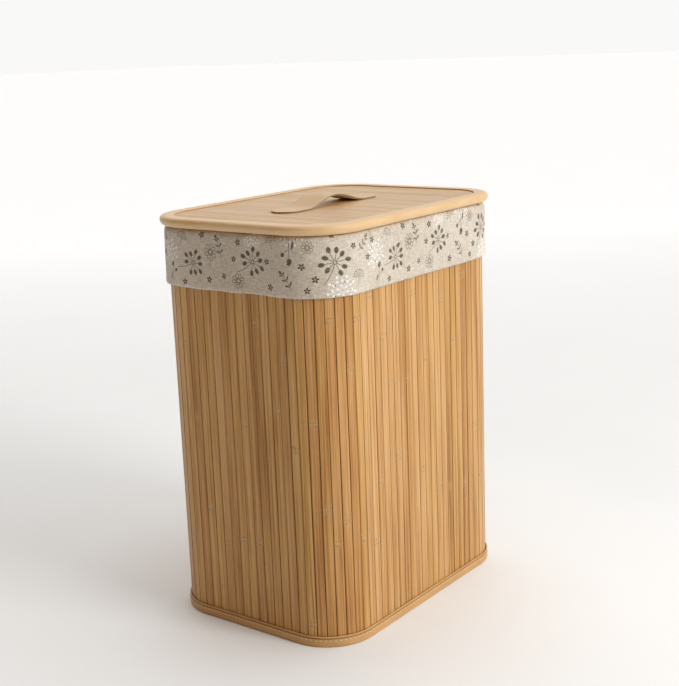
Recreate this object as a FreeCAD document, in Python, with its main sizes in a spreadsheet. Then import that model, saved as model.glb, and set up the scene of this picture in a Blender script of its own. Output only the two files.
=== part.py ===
"""Laundry hamper: a bamboo-slat tub, a removable cloth liner with a folded cuff, and a lift-off lid.

Frame: millimetres, +Z up, origin on the floor under the middle of the tub, X along the long side.
The tub's outer face is a rounded rectangle. Every ring and plate is that outline moved outwards by an offset,
so a negative offset lies inside the slats' outer face.
"""
import FreeCAD, Part
import math
import os
from types import SimpleNamespace
import Sketcher
from FreeCAD import Rotation, Vector

SHEET_NAME = "Sizes"
UP = Vector(0, 0, 1)
QUARTER = math.pi / 2

# Driving dimensions: alias, millimetres or a count, and what it is.
DRIVING = [
    ("wall_length", 420.0, "tub outside, along X"),
    ("wall_depth", 304.0, "tub outside, along Y"),
    ("corner_radius", 68.0, "outside radius of the tub's four corners"),
    ("wall_top", 546.0, "top ends of the slats"),
    ("wall_foot", 2.4, "bottom ends of the slats"),
    ("slat_thick", 2.0, "thickness of a bamboo slat"),
    ("slat_gap", 0.45, "open joint between two slats"),
    ("long_slats", 20, "slats on the front and on the back"),
    ("short_slats", 12, "slats on the left and on the right"),
    ("corner_slats", 8, "slats round one corner"),
    ("corner_relief", 0.35, "corner slats are set in, so that their flat faces stay in the outline"),
    ("cloth_thick", 0.8, "woven backing glued behind the slats"),
    ("seam_width", 40.0, "tape over the joint where the slat mat closes"),
    ("seam_clear", 18.0, "seam tape stops short of each binding"),
    ("hoop_radius", 2.0, "steel hoop wire in the tub's edges"),
    ("hoop_inset", 5.2, "hoop wire's centre, in from the slats"),
    ("hoop_clear", 0.6, "space above or below a hoop wire"),
    ("hem_start", 7.6, "inner leg of a binding, in from the slats"),
    ("hem_end", 8.6, "inner face of a binding, in from the slats"),
    ("base_proud", 2.6, "base binding, out from the slats"),
    ("base_band", 15.0, "height of the base binding"),
    ("base_flange", 20.0, "base binding turned in under the board"),
    ("board_thick", 3.0, "fibreboard base"),
    ("cover_thick", 1.0, "felt cover of the base board"),
    ("top_proud", 1.2, "top binding, out from the slats"),
    ("top_band", 16.0, "height of the top binding"),
    ("tape_thick", 1.0, "top binding over the slat ends"),
    ("tab_length", 80.0, "hook and loop strips"),
    ("tab_height", 20.0, "hook and loop strips"),
    ("tab_foot", 488.0, "lower edge of the hook and loop strips"),
    ("hook_thick", 1.1, "hook strip on the slats"),
    ("loop_thick", 0.6, "loop strip inside the cuff"),
    ("cuff_inside", 2.1, "cuff's inner face, out from the slats"),
    ("cuff_thick", 1.2, "cuff cloth, doubled and hemmed"),
    ("cuff_foot", 471.0, "lower edge of the cuff outside"),
    ("cuff_seam", 520.0, "seam between the cuff and the bag inside"),
    ("cuff_lift", 0.4, "cuff's fold above the top binding"),
    ("bag_inset", 9.2, "liner bag's outer face, in from the slats"),
    ("bag_thick", 1.0, "liner bag cloth"),
    ("bag_foot", 7.6, "underside of the liner bag"),
    ("lid_seat", 549.0, "underside of the lid's rim"),
    ("rim_height", 13.0, "height of the lid's rim"),
    ("rim_outside", 9.0, "lid rim, out from the slats"),
    ("rim_inside", 11.0, "lid rim's inner face, in from the slats"),
    ("rim_round", 5.0, "rounding of the lid rim's outer top edge"),
    ("rim_foot_round", 7.4, "rounding of the lid rim's outer bottom edge"),
    ("rim_lip_round", 1.0, "rounding of the lid rim's inner top edge"),
    ("groove_inset", 5.0, "bottom of the rim's groove, in from the slats"),
    ("panel_clear", 0.2, "room round the panel in the groove"),
    ("panel_foot", 4.4, "underside of the lining, above the rim's underside"),
    ("lining_thick", 0.8, "cloth lining under the lid"),
    ("core_thick", 4.0, "fibreboard core of the lid"),
    ("lid_slats", 30, "slats across the lid"),
    ("lid_slat_gap", 0.35, "open joint between two lid slats"),
    ("rim_rod", 4.4, "radius of the bent rod inside the lid's rim"),
    ("rim_rod_out", 1.6, "centre of the lid's rod, out from the slats"),
    ("rod_clear", 0.1, "room round the lid's rod in its bore"),
    ("strap_length", 214.0, "strap, end to end in plan"),
    ("strap_width", 43.0, "strap"),
    ("strap_shift", -8.0, "strap's middle from the lid's, along the long side"),
    ("strap_layer", 1.2, "each of the strap's two layers"),
    ("strap_span", 68.0, "half of the strap's raised stretch"),
    ("strap_rise", 14.0, "gap under the middle of the strap"),
    ("strap_end_flat", 0.5, "straight stretch left of each end, either side of the middle"),
    ("rivet_inset", 15.0, "rivet centres, in from the strap's ends"),
    ("rivet_spread", 16.0, "between the two rivets at one end"),
    ("rivet_shank", 1.6, "radius of a rivet's shank"),
    ("rivet_hole", 1.7, "radius of a rivet's hole"),
    ("rivet_head", 3.5, "radius of a rivet's heads"),
    ("rivet_recess", 3.6, "radius of the recess over a rivet's head"),
    ("rivet_flat", 0.6, "thickness of a rivet's heads"),
    ("washer_radius", 5.0, "outside radius of a rivet washer"),
    ("washer_thick", 0.8, "rivet washer"),
]

# Corner names, and on which side of the middle each lies along X and Y.
CORNERS = {"back_right": (1, 1), "back_left": (-1, 1), "front_left": (-1, -1), "front_right": (1, -1)}


class Length:
    """A number together with the spreadsheet expression that drives it."""

    def __init__(self, number, text=None):
        self.number = float(number)
        self.text = text or f"{number:.12g}"

    def joined(self, other, sign, number):
        return Length(number, f"({self.text} {sign} {as_length(other).text})")

    def __add__(self, other):
        return self.joined(other, "+", self.number + as_length(other).number)

    def __sub__(self, other):
        return self.joined(other, "-", self.number - as_length(other).number)

    def __mul__(self, other):
        return self.joined(other, "*", self.number * as_length(other).number)

    def __truediv__(self, other):
        return self.joined(other, "/", self.number / as_length(other).number)

    def __neg__(self):
        return Length(-self.number, f"(-1 * {self.text})")


def as_length(thing):
    """The thing itself if it is a Length, otherwise a fixed number as one."""
    return thing if isinstance(thing, Length) else Length(thing)


def make_sheet(doc):
    """Writes the driving dimensions into a spreadsheet, and returns them by name."""
    sheet = doc.addObject("Spreadsheet::Sheet", SHEET_NAME)
    for row, (alias, number, meaning) in enumerate(DRIVING, start=1):
        sheet.set(f"A{row}", meaning)
        sheet.set(f"B{row}", f"{number:g}")
        sheet.setAlias(f"B{row}", alias)
    doc.recompute()
    return SimpleNamespace(**{alias: Length(number, f"{SHEET_NAME}.{alias}") for alias, number, _ in DRIVING})


def new_body(label):
    """An empty body for one sub-part, which may hold several solids."""
    body = DOC.addObject("PartDesign::Body", label)
    body.Label = label
    body.AllowCompound = True
    return body


def origin_feature(body, role):
    """One of the body's own origin planes or axes."""
    return next(feature for feature in body.Origin.OriginFeatures if feature.Role == role)


def new_sketch(body, name, level=0, plane="XY_Plane"):
    """A sketch on one of the body's origin planes, moved along the plane's normal by level."""
    sketch = body.newObject("Sketcher::SketchObject", name)
    sketch.AttachmentSupport = (origin_feature(body, plane), [""])
    sketch.MapMode = "FlatFace"
    sketch.setExpression("AttachmentOffset.Base.z", as_length(level).text)
    return sketch


def drive(sketch, size, kind, *where):
    """Adds a dimension that the sheet drives."""
    size = as_length(size)
    number = sketch.addConstraint(Sketcher.Constraint(kind, *where, size.number))
    sketch.setExpression(f"Constraints[{number}]", size.text)


def arc(x, y, radius, start, end):
    """An arc about a centre, anticlockwise between two angles in radians."""
    return Part.ArcOfCircle(Part.Circle(Vector(x, y, 0), UP, radius), start, end)


def line(x0, y0, x1, y1):
    """A straight line between two points of a sketch."""
    return Part.LineSegment(Vector(x0, y0, 0), Vector(x1, y1, 0))


def add_outline(sketch, offset):
    """The tub's rounded rectangle, centred and moved outwards by offset."""
    length = S.wall_length + as_length(offset) * 2
    depth = S.wall_depth + as_length(offset) * 2
    bend = S.corner_radius + offset
    radius = bend.number
    x1, y1 = length.number / 2, depth.number / 2
    x0, y0 = x1 - radius, y1 - radius
    first = sketch.GeometryCount
    pieces = [
        line(x1, -y0, x1, y0),
        arc(x0, y0, radius, 0, QUARTER),
        line(x0, y1, -x0, y1),
        arc(-x0, y0, radius, QUARTER, 2 * QUARTER),
        line(-x1, y0, -x1, -y0),
        arc(-x0, -y0, radius, 2 * QUARTER, 3 * QUARTER),
        line(-x0, -y1, x0, -y1),
        arc(x0, -y0, radius, 3 * QUARTER, 4 * QUARTER),
    ]
    for piece in pieces:
        sketch.addGeometry(piece, False)
    loop = list(range(first, first + len(pieces)))
    right, back, left, front = loop[::2]
    bends = loop[1::2]
    for one, two in zip(loop, loop[1:] + loop[:1]):
        sketch.addConstraint(Sketcher.Constraint("Tangent", one, 2, two, 1))
    for side in (right, left):
        sketch.addConstraint(Sketcher.Constraint("Vertical", side))
    for side in (front, back):
        sketch.addConstraint(Sketcher.Constraint("Horizontal", side))
    for other in bends[1:]:
        sketch.addConstraint(Sketcher.Constraint("Equal", bends[0], other))
    sketch.addConstraint(Sketcher.Constraint("Symmetric", bends[0], 3, bends[2], 3, -1, 1))
    drive(sketch, bend, "Radius", bends[0])
    drive(sketch, length, "DistanceX", left, 1, right, 1)
    drive(sketch, depth, "DistanceY", front, 1, back, 1)


def add_rectangle(sketch, left, right, bottom, top):
    """A rectangle whose four sides stand at signed distances from the sketch's origin."""
    x0, x1, y0, y1 = (as_length(side).number for side in (left, right, bottom, top))
    first = sketch.GeometryCount
    sides = list(range(first, first + 4))
    for side in (line(x0, y0, x1, y0), line(x1, y0, x1, y1), line(x1, y1, x0, y1), line(x0, y1, x0, y0)):
        sketch.addGeometry(side, False)
    for one, two in zip(sides, sides[1:] + sides[:1]):
        sketch.addConstraint(Sketcher.Constraint("Coincident", one, 2, two, 1))
    for one in sides[::2]:
        sketch.addConstraint(Sketcher.Constraint("Horizontal", one))
    for one in sides[1::2]:
        sketch.addConstraint(Sketcher.Constraint("Vertical", one))
    drive(sketch, left, "DistanceX", -1, 1, sides[0], 1)
    drive(sketch, right, "DistanceX", -1, 1, sides[1], 1)
    drive(sketch, bottom, "DistanceY", -1, 1, sides[0], 1)
    drive(sketch, top, "DistanceY", -1, 1, sides[2], 1)


def add_circle(sketch, x, y, radius):
    """A circle at signed distances from the sketch's origin."""
    circle = Part.Circle(Vector(x.number, y.number, 0), UP, radius.number)
    number = sketch.addGeometry(circle, False)
    drive(sketch, radius, "Radius", number)
    drive(sketch, x, "DistanceX", -1, 1, number, 3)
    drive(sketch, y, "DistanceY", -1, 1, number, 3)


def pad(body, sketch, height):
    """Raises the sketch upwards."""
    feature = body.newObject("PartDesign::Pad", sketch.Name + "_pad")
    feature.Profile = sketch
    feature.setExpression("Length", height.text)
    return feature


def pocket(body, sketch, height):
    """Cuts upwards from the sketch, and stops if nothing came off."""
    DOC.recompute()
    before = body.Shape.Volume
    feature = body.newObject("PartDesign::Pocket", sketch.Name + "_pocket")
    feature.Profile = sketch
    feature.Reversed = True
    feature.setExpression("Length", height.text)
    DOC.recompute()
    if body.Shape.Volume >= before:
        raise RuntimeError(f"{feature.Name} cuts nothing from {body.Label}")
    return feature


def row_of(body, feature, axis, pitch, count):
    """Repeats the feature at a pitch along one of the body's origin axes."""
    DOC.recompute()
    pattern = body.newObject("PartDesign::LinearPattern", feature.Name + "_row")
    pattern.Originals = [feature]
    pattern.Direction = (origin_feature(body, axis), [""])
    pattern.setExpression("Length", (pitch * (count - 1)).text)
    pattern.setExpression("Occurrences", count.text)
    body.Tip = pattern


def ring(label, outer, inner, foot, top):
    """A plain ring between two outlines and two levels."""
    body = new_body(label)
    sketch = new_sketch(body, label + "_plan", foot)
    add_outline(sketch, outer)
    add_outline(sketch, inner)
    pad(body, sketch, as_length(top) - foot)
    return body


def cut_ring(body, name, outer, inner, foot, top):
    """Cuts the space between two outlines and two levels out of a body."""
    sketch = new_sketch(body, name, foot)
    add_outline(sketch, outer)
    add_outline(sketch, inner)
    pocket(body, sketch, as_length(top) - foot)


def plate(label, offset, foot, thickness):
    """A flat plate in the tub's outline."""
    body = new_body(label)
    sketch = new_sketch(body, label + "_plan", foot)
    add_outline(sketch, offset)
    pad(body, sketch, thickness)
    return body


def hoop(label, offset, level, radius):
    """A closed wire hoop: a circle carried round the outline."""
    body = new_body(label)
    path, section = hoop_sketches(body, label, offset, level, radius)
    pipe = body.newObject("PartDesign::AdditivePipe", label + "_pipe")
    pipe.Profile = section
    pipe.Spine = (path, [])


def hoop_sketches(body, name, offset, level, radius):
    """The outline that a wire follows, and its round section where the right side meets the front corner."""
    path = new_sketch(body, name + "_path", level)
    add_outline(path, offset)
    section = new_sketch(body, name + "_section", S.wall_depth / 2 - S.corner_radius, "XZ_Plane")
    add_circle(section, S.wall_length / 2 + offset, level, radius)
    DOC.recompute()
    return path, section


def round_edges(body, name, radius, level, offset):
    """Rounds the edges that follow one outline at one level."""
    DOC.recompute()
    tip = body.Tip
    bend = (S.corner_radius + offset).number
    near_x = (S.wall_length / 2 - S.corner_radius).number
    near_y = (S.wall_depth / 2 - S.corner_radius).number

    def follows(edge):
        box = edge.BoundBox
        middle = edge.valueAt((edge.FirstParameter + edge.LastParameter) / 2)
        over_x = max(abs(middle.x) - near_x, 0)
        over_y = max(abs(middle.y) - near_y, 0)
        flat = box.ZLength < 0.01 and abs(box.ZMin - as_length(level).number) < 0.01
        return flat and abs(math.hypot(over_x, over_y) - bend) < 0.01

    names = [f"Edge{number}" for number, edge in enumerate(tip.Shape.Edges, start=1) if follows(edge)]
    fillet(body, name, radius, tip, names)


def fillet(body, name, radius, tip, names):
    """Rounds the named edges of the body's last feature."""
    if not names:
        raise RuntimeError(f"{name} finds no edge on {body.Label}")
    feature = body.newObject("PartDesign::Fillet", name)
    feature.Base = (tip, names)
    feature.setExpression("Radius", radius.text)
    DOC.recompute()


def make_slat_row(label, along_x, sign):
    """The slats of one flat side, one box a slat, from one end of the straight stretch to the other."""
    length, depth, count = S.wall_length, S.wall_depth, S.long_slats
    if not along_x:
        length, depth, count = S.wall_depth, S.wall_length, S.short_slats
    span = length - S.corner_radius * 2
    pitch = span / count
    near = S.slat_gap / 2 - span / 2
    far = pitch - span / 2 - S.slat_gap / 2
    outer = depth / 2
    inner = outer - S.slat_thick
    across = (inner, outer) if sign > 0 else (-outer, -inner)
    body = new_body(label)
    sketch = new_sketch(body, label + "_plan", S.wall_foot)
    add_rectangle(sketch, *((near, far) + across if along_x else across + (near, far)))
    slat = pad(body, sketch, S.wall_top - S.wall_foot)
    row_of(body, slat, "X_Axis" if along_x else "Y_Axis", pitch, count)


def make_slat_corner(label, sign_x, sign_y):
    """The slats round one corner: flat boxes that face out from the corner's own upright axis."""
    step = 90 / S.corner_slats.number
    half_angle_tan = Length(math.tan(math.radians(step / 2)), f"tan(45 deg / {S.corner_slats.text})")
    outer = S.corner_radius - S.corner_relief
    inner = outer - S.slat_thick
    half = inner * half_angle_tan - S.slat_gap / 2
    body = new_body(label)
    sketch = new_sketch(body, label + "_plan", S.wall_foot)
    add_rectangle(sketch, inner, outer, -half, half)
    slat = pad(body, sketch, S.wall_top - S.wall_foot)
    DOC.recompute()
    pattern = body.newObject("PartDesign::PolarPattern", label + "_round")
    pattern.Originals = [slat]
    pattern.Axis = (origin_feature(body, "Z_Axis"), [""])
    pattern.setExpression("Angle", f"90 deg - 90 deg / {S.corner_slats.text}")
    pattern.setExpression("Occurrences", S.corner_slats.text)
    body.Tip = pattern
    first_turn = {(1, 1): 0, (-1, 1): 90, (-1, -1): 180, (1, -1): 270}[sign_x, sign_y]
    body.Placement.Rotation = Rotation(UP, first_turn + step / 2)
    body.setExpression("Placement.Base.x", ((S.wall_length / 2 - S.corner_radius) * sign_x).text)
    body.setExpression("Placement.Base.y", ((S.wall_depth / 2 - S.corner_radius) * sign_y).text)


def make_side_strips(label, inner, outer):
    """Four flat strips, one at the middle of each side, between two offsets."""
    half = S.tab_length / 2
    body = new_body(label)
    sketch = new_sketch(body, label + "_plan", S.tab_foot)
    far = [size / 2 + outer for size in (S.wall_length, S.wall_depth)]
    near = [size / 2 + inner for size in (S.wall_length, S.wall_depth)]
    add_rectangle(sketch, near[0], far[0], -half, half)
    add_rectangle(sketch, -far[0], -near[0], -half, half)
    add_rectangle(sketch, -half, half, near[1], far[1])
    add_rectangle(sketch, -half, half, -far[1], -near[1])
    pad(body, sketch, S.tab_height)


def make_walls():
    """The slats, the cloth glued behind them, and the tape over the joint at the back."""
    make_slat_row("front_wall_slats", True, -1)
    make_slat_row("back_wall_slats", True, 1)
    make_slat_row("left_wall_slats", False, -1)
    make_slat_row("right_wall_slats", False, 1)
    for name, (sign_x, sign_y) in CORNERS.items():
        make_slat_corner(name + "_corner_slats", sign_x, sign_y)

    behind = S.slat_thick + S.corner_relief
    cloth_face = behind + S.cloth_thick
    ring("wall_backing_cloth", -behind, -cloth_face, S.wall_foot, S.wall_top)

    face = S.wall_depth / 2 - cloth_face
    foot = S.base_band + S.seam_clear
    seam = new_body("wall_seam_tape")
    plan = new_sketch(seam, "wall_seam_tape_plan", foot)
    add_rectangle(plan, -S.seam_width / 2, S.seam_width / 2, face - S.cloth_thick, face)
    pad(seam, plan, S.wall_top - S.top_band - S.seam_clear - foot)
    make_side_strips("hook_strips", 0, S.hook_thick)


def make_base():
    """The base binding, folded round the slats' feet and under the board, its hoop, the board and its cover."""
    band = ring("base_edge_binding", S.base_proud, -S.base_flange, 0, S.base_band)
    cut_ring(band, "base_slot", S.corner_relief, -S.hem_start, S.wall_foot, S.base_band)
    cut_ring(band, "base_ledge", -S.hem_end, -S.base_flange - 1, S.wall_foot, S.base_band)
    round_edges(band, "base_lip_round", S.base_proud / 3, S.base_band, S.base_proud)
    round_edges(band, "base_foot_round", S.base_proud / 2, 0, S.base_proud)
    hoop("base_hoop_wire", -S.hoop_inset, S.wall_foot + S.hoop_clear + S.hoop_radius, S.hoop_radius)
    plate("base_board", -S.hem_end, S.wall_foot, S.board_thick)
    plate("base_board_cover", -S.hem_end, S.wall_foot + S.board_thick, S.cover_thick)


def make_top_edge():
    """The top binding, folded over the slats' ends, with its hoop."""
    foot = S.wall_top - S.top_band + S.tape_thick
    band = ring("top_edge_binding", S.top_proud, -S.hem_end, foot, S.wall_top + S.tape_thick)
    cut_ring(band, "top_slot", S.corner_relief, -S.hem_start, foot, S.wall_top)
    hoop("top_hoop_wire", -S.hoop_inset, S.wall_top - S.hoop_clear - S.hoop_radius, S.hoop_radius)


def make_liner():
    """The cloth bag and its floor, the cuff folded over the tub's edge, and the loop strips in the cuff."""
    bag_inside = S.bag_inset + S.bag_thick
    cuff_outside = S.cuff_inside + S.cuff_thick
    fold_inside = S.wall_top + S.tape_thick + S.cuff_lift
    fold_top = fold_inside + S.cuff_thick
    plate("liner_bag_floor", -S.bag_inset, S.bag_foot, S.bag_thick)
    ring("liner_bag_side", -S.bag_inset, -bag_inside, S.bag_foot + S.bag_thick, S.cuff_seam)
    cuff = ring("liner_cuff", cuff_outside, -bag_inside, S.cuff_foot, fold_top)
    cut_ring(cuff, "cuff_slot", S.cuff_inside, -S.bag_inset, S.cuff_foot, fold_inside)
    cut_ring(cuff, "cuff_short_leg", -S.bag_inset + 1, -bag_inside - 1, S.cuff_foot, S.cuff_seam)
    round_edges(cuff, "cuff_fold_round", S.cuff_thick / 2, fold_top, cuff_outside)
    make_side_strips("loop_strips", S.cuff_inside - S.loop_thick, S.cuff_inside)


def make_lid_rim():
    """The binding that forms the lid's rounded rim, grips the panel in a groove and wraps the bent rod."""
    top = S.lid_seat + S.rim_height
    middle = S.lid_seat + S.rim_height / 2
    rim = ring("lid_rim_binding", S.rim_outside, -S.rim_inside, S.lid_seat, top)
    cut_ring(rim, "rim_groove", -S.groove_inset, -S.rim_inside - 1, S.lid_seat + S.panel_foot, PANEL_TOP)
    round_edges(rim, "rim_top_round", S.rim_round, top, S.rim_outside)
    round_edges(rim, "rim_foot_round", S.rim_foot_round, S.lid_seat, S.rim_outside)
    round_edges(rim, "rim_lip_round", S.rim_lip_round, top, -S.rim_inside)
    path, section = hoop_sketches(rim, "rim_bore", S.rim_rod_out, middle, S.rim_rod + S.rod_clear)
    bore = rim.newObject("PartDesign::SubtractivePipe", "rim_bore")
    bore.Profile = section
    bore.Spine = (path, [])
    hoop("lid_rim_rod", S.rim_rod_out, middle, S.rim_rod)


def add_rivet_circles(sketch, radius):
    """A circle of one radius at each of the four rivets."""
    x = S.strap_length / 2 - S.rivet_inset
    y = S.rivet_spread / 2
    for sign_x, sign_y in CORNERS.values():
        add_circle(sketch, x * sign_x + S.strap_shift, y * sign_y, radius)


def drill(body, name, foot, height, radius):
    """Cuts a round hole at each rivet."""
    sketch = new_sketch(body, name, foot)
    add_rivet_circles(sketch, radius)
    pocket(body, sketch, height)


def make_lid_panel():
    """The panel in the rim: cloth lining, fibreboard core and a row of slats that run from front to back."""
    edge = -S.groove_inset - S.panel_clear
    lining_foot = S.lid_seat + S.panel_foot
    core_foot = lining_foot + S.lining_thick
    slat_foot = core_foot + S.core_thick
    lining = plate("lid_lining_cloth", edge, lining_foot, S.lining_thick)
    drill(lining, "lining_holes", lining_foot, S.lining_thick, S.rivet_hole)
    core = plate("lid_core_board", edge, core_foot, S.core_thick)
    drill(core, "core_holes", core_foot, S.core_thick, S.rivet_hole)

    slats = plate("lid_slats", edge, slat_foot, S.slat_thick)
    panel_length = S.wall_length + edge * 2
    pitch = panel_length / S.lid_slats
    joint_middle = pitch - panel_length / 2
    joints = new_sketch(slats, "lid_slat_joint", slat_foot)
    half_gap = S.lid_slat_gap / 2
    past_edge = S.wall_depth / 2
    add_rectangle(joints, joint_middle - half_gap, joint_middle + half_gap, -past_edge, past_edge)
    joint = pocket(slats, joints, S.slat_thick)
    row_of(slats, joint, "X_Axis", pitch, S.lid_slats - 1)
    drill(slats, "slat_holes", slat_foot, S.slat_thick, S.rivet_hole)


def make_strap_layer(label, lift):
    """One layer of the strap: a flat band carried along the arch, lift above the panel's top."""
    ground = PANEL_TOP + lift
    # The arch is two equal turns each side of the middle. Both have this radius on the panel's level.
    arch = (S.strap_span * S.strap_span + S.strap_rise * S.strap_rise) / (S.strap_rise * 4)
    foot_bend, crown_bend = arch - lift, arch + lift
    lean = math.asin(S.strap_span.number / 2 / arch.number)
    left, right = S.strap_shift - S.strap_length / 2, S.strap_shift + S.strap_length / 2
    rise_from, rise_to = S.strap_shift - S.strap_span, S.strap_shift + S.strap_span
    floor = ground.number
    foot_y = floor + foot_bend.number
    crown_y = floor + S.strap_rise.number - crown_bend.number
    body = new_body(label)
    path = new_sketch(body, label + "_path", 0, "XZ_Plane")
    pieces = (
        line(left.number, floor, rise_from.number, floor),
        arc(rise_from.number, foot_y, foot_bend.number, -QUARTER, lean - QUARTER),
        arc(S.strap_shift.number, crown_y, crown_bend.number, QUARTER - lean, QUARTER + lean),
        arc(rise_to.number, foot_y, foot_bend.number, -QUARTER - lean, -QUARTER),
        line(rise_to.number, floor, right.number, floor),
    )
    for piece in pieces:
        path.addGeometry(piece, False)
    for one, one_end, two, two_end in ((0, 2, 1, 1), (1, 2, 2, 2), (2, 1, 3, 1), (3, 2, 4, 1)):
        path.addConstraint(Sketcher.Constraint("Tangent", one, one_end, two, two_end))
    for straight in (0, 4):
        path.addConstraint(Sketcher.Constraint("Horizontal", straight))
    drive(path, S.strap_shift, "DistanceX", -1, 1, 2, 3)
    drive(path, left, "DistanceX", -1, 1, 0, 1)
    drive(path, right, "DistanceX", -1, 1, 4, 2)
    drive(path, ground, "DistanceY", -1, 1, 0, 1)
    drive(path, rise_from, "DistanceX", -1, 1, 1, 3)
    drive(path, rise_to, "DistanceX", -1, 1, 3, 3)
    drive(path, foot_bend, "Radius", 1)
    drive(path, crown_bend, "Radius", 2)
    drive(path, foot_bend, "Radius", 3)
    section = new_sketch(body, label + "_section", left, "YZ_Plane")
    add_rectangle(section, -S.strap_width / 2, S.strap_width / 2, ground, ground + S.strap_layer)
    DOC.recompute()
    band = body.newObject("PartDesign::AdditivePipe", label + "_band")
    band.Profile = section
    band.Spine = (path, [])
    DOC.recompute()

    def upright_end(edge):
        box = edge.BoundBox
        at_end = min(abs(box.XMin - left.number), abs(box.XMin - right.number)) < 0.01
        return at_end and box.XLength < 0.01 and box.YLength < 0.01

    names = [f"Edge{number}" for number, edge in enumerate(band.Shape.Edges, start=1) if upright_end(edge)]
    fillet(body, label + "_ends", S.strap_width / 2 - S.strap_end_flat, band, names)
    return body


def make_strap():
    """The strap's two layers, and the rivets and washers that hold its lower layer under the upper one."""
    lining_foot = S.lid_seat + S.panel_foot
    low_head_top = lining_foot - S.washer_thick
    lower_top = PANEL_TOP + S.strap_layer
    lower = make_strap_layer("strap_lower_layer", as_length(0))
    drill(lower, "strap_holes", PANEL_TOP, S.strap_layer, S.rivet_hole)
    upper = make_strap_layer("strap_upper_layer", S.strap_layer)
    drill(upper, "strap_recesses", lower_top, S.rivet_flat, S.rivet_recess)

    rivets = new_body("strap_rivets")
    stages = (
        ("low_head", low_head_top - S.rivet_flat, S.rivet_flat, S.rivet_head),
        ("shank", low_head_top, lower_top - low_head_top, S.rivet_shank),
        ("high_head", lower_top, S.rivet_flat, S.rivet_head),
    )
    for name, foot, height, radius in stages:
        sketch = new_sketch(rivets, name, foot)
        add_rivet_circles(sketch, radius)
        pad(rivets, sketch, height)

    washers = new_body("strap_rivet_washers")
    plan = new_sketch(washers, "washer_plan", low_head_top)
    add_rivet_circles(plan, S.washer_radius)
    add_rivet_circles(plan, S.rivet_hole)
    pad(washers, plan, S.washer_thick)


def check_and_export():
    """Stops on any failed object or bad shape, then writes one STEP file for each sub-part."""
    DOC.recompute()
    for thing in DOC.Objects:
        if "Invalid" in thing.State or "Error" in thing.State:
            raise RuntimeError(f"{thing.Label} failed: {thing.State}")
    bodies = DOC.findObjects("PartDesign::Body")
    for body in bodies:
        if body.Shape.isNull() or not body.Shape.isValid() or not body.Shape.Solids:
            raise RuntimeError(f"{body.Label} has no valid solid")
    os.makedirs("parts", exist_ok=True)
    for body in bodies:
        body.Shape.exportStep(os.path.join("parts", body.Label + ".step"))
        box = body.Shape.BoundBox
        solids, volume = len(body.Shape.Solids), body.Shape.Volume / 1000
        print(f"{body.Label:28s} {solids:3d} solids {volume:8.2f} cm3  z {box.ZMin:7.2f} to {box.ZMax:7.2f}")


DOC = FreeCAD.newDocument("hamper")
S = make_sheet(DOC)
# The top of the lid's slats, where the strap lies.
PANEL_TOP = S.lid_seat + S.panel_foot + S.lining_thick + S.core_thick + S.slat_thick
make_walls()
make_base()
make_top_edge()
make_liner()
make_lid_rim()
make_lid_panel()
make_strap()
check_and_export()
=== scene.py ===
"""Bamboo laundry hamper: the looks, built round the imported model.

Metres, +Z up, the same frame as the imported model. Run as a script; laid out as an add-on.

Every ring-shaped piece follows the tub's outline, a rounded rectangle measured round from the middle of the
back. A point of such a piece is found from its distance round the outline, its offset outwards from the
slats' outer face, and its height. Profiles are written in millimetres.
"""
import math

import bmesh
import bpy
import numpy as np
from bpy.props import FloatProperty, FloatVectorProperty, PointerProperty
from mathutils import Matrix, Vector


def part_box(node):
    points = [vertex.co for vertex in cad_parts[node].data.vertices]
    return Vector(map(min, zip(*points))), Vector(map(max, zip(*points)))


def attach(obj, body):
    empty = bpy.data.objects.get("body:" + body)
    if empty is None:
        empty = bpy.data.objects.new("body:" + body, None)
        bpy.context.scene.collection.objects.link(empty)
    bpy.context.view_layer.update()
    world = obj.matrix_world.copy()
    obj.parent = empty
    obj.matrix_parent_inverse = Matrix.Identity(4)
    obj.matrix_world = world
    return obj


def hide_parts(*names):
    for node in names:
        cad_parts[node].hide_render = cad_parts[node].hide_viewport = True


bl_info = {
    "name": "Bamboo Laundry Hamper",
    "version": (1, 0, 0),
    "blender": (4, 5, 0),
    "location": "3D View > Sidebar > Hamper",
    "description": "Builds a bamboo laundry hamper with a printed liner and a lid",
    "category": "Add Mesh",
}

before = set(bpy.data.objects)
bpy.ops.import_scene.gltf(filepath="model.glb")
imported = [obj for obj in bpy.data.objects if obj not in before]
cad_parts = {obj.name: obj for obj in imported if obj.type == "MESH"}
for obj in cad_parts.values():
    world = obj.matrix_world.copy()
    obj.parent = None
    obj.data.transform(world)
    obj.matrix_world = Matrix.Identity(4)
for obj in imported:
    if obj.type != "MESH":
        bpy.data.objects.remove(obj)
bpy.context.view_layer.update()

MM = 0.001
TURN = 2 * math.pi
TUB, LINER, LID = "hamper_body", "liner", "lid"
SLAT_GAP = 0.45 * MM
LONG_SLATS, SHORT_SLATS, CORNER_SLATS, LID_SLATS = 20, 12, 8, 30

# The tub's outline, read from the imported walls.
FRONT_LOW, FRONT_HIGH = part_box("front_wall_slats")
LEFT_LOW, LEFT_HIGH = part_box("left_wall_slats")
HALF_X = -LEFT_LOW.x
HALF_Y = -FRONT_LOW.y
STRAIGHT_X = FRONT_HIGH.x + SLAT_GAP / 2
STRAIGHT_Y = LEFT_HIGH.y + SLAT_GAP / 2
CORNER = HALF_X - STRAIGHT_X
WALL_FOOT, WALL_TOP = FRONT_LOW.z, FRONT_HIGH.z

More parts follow.
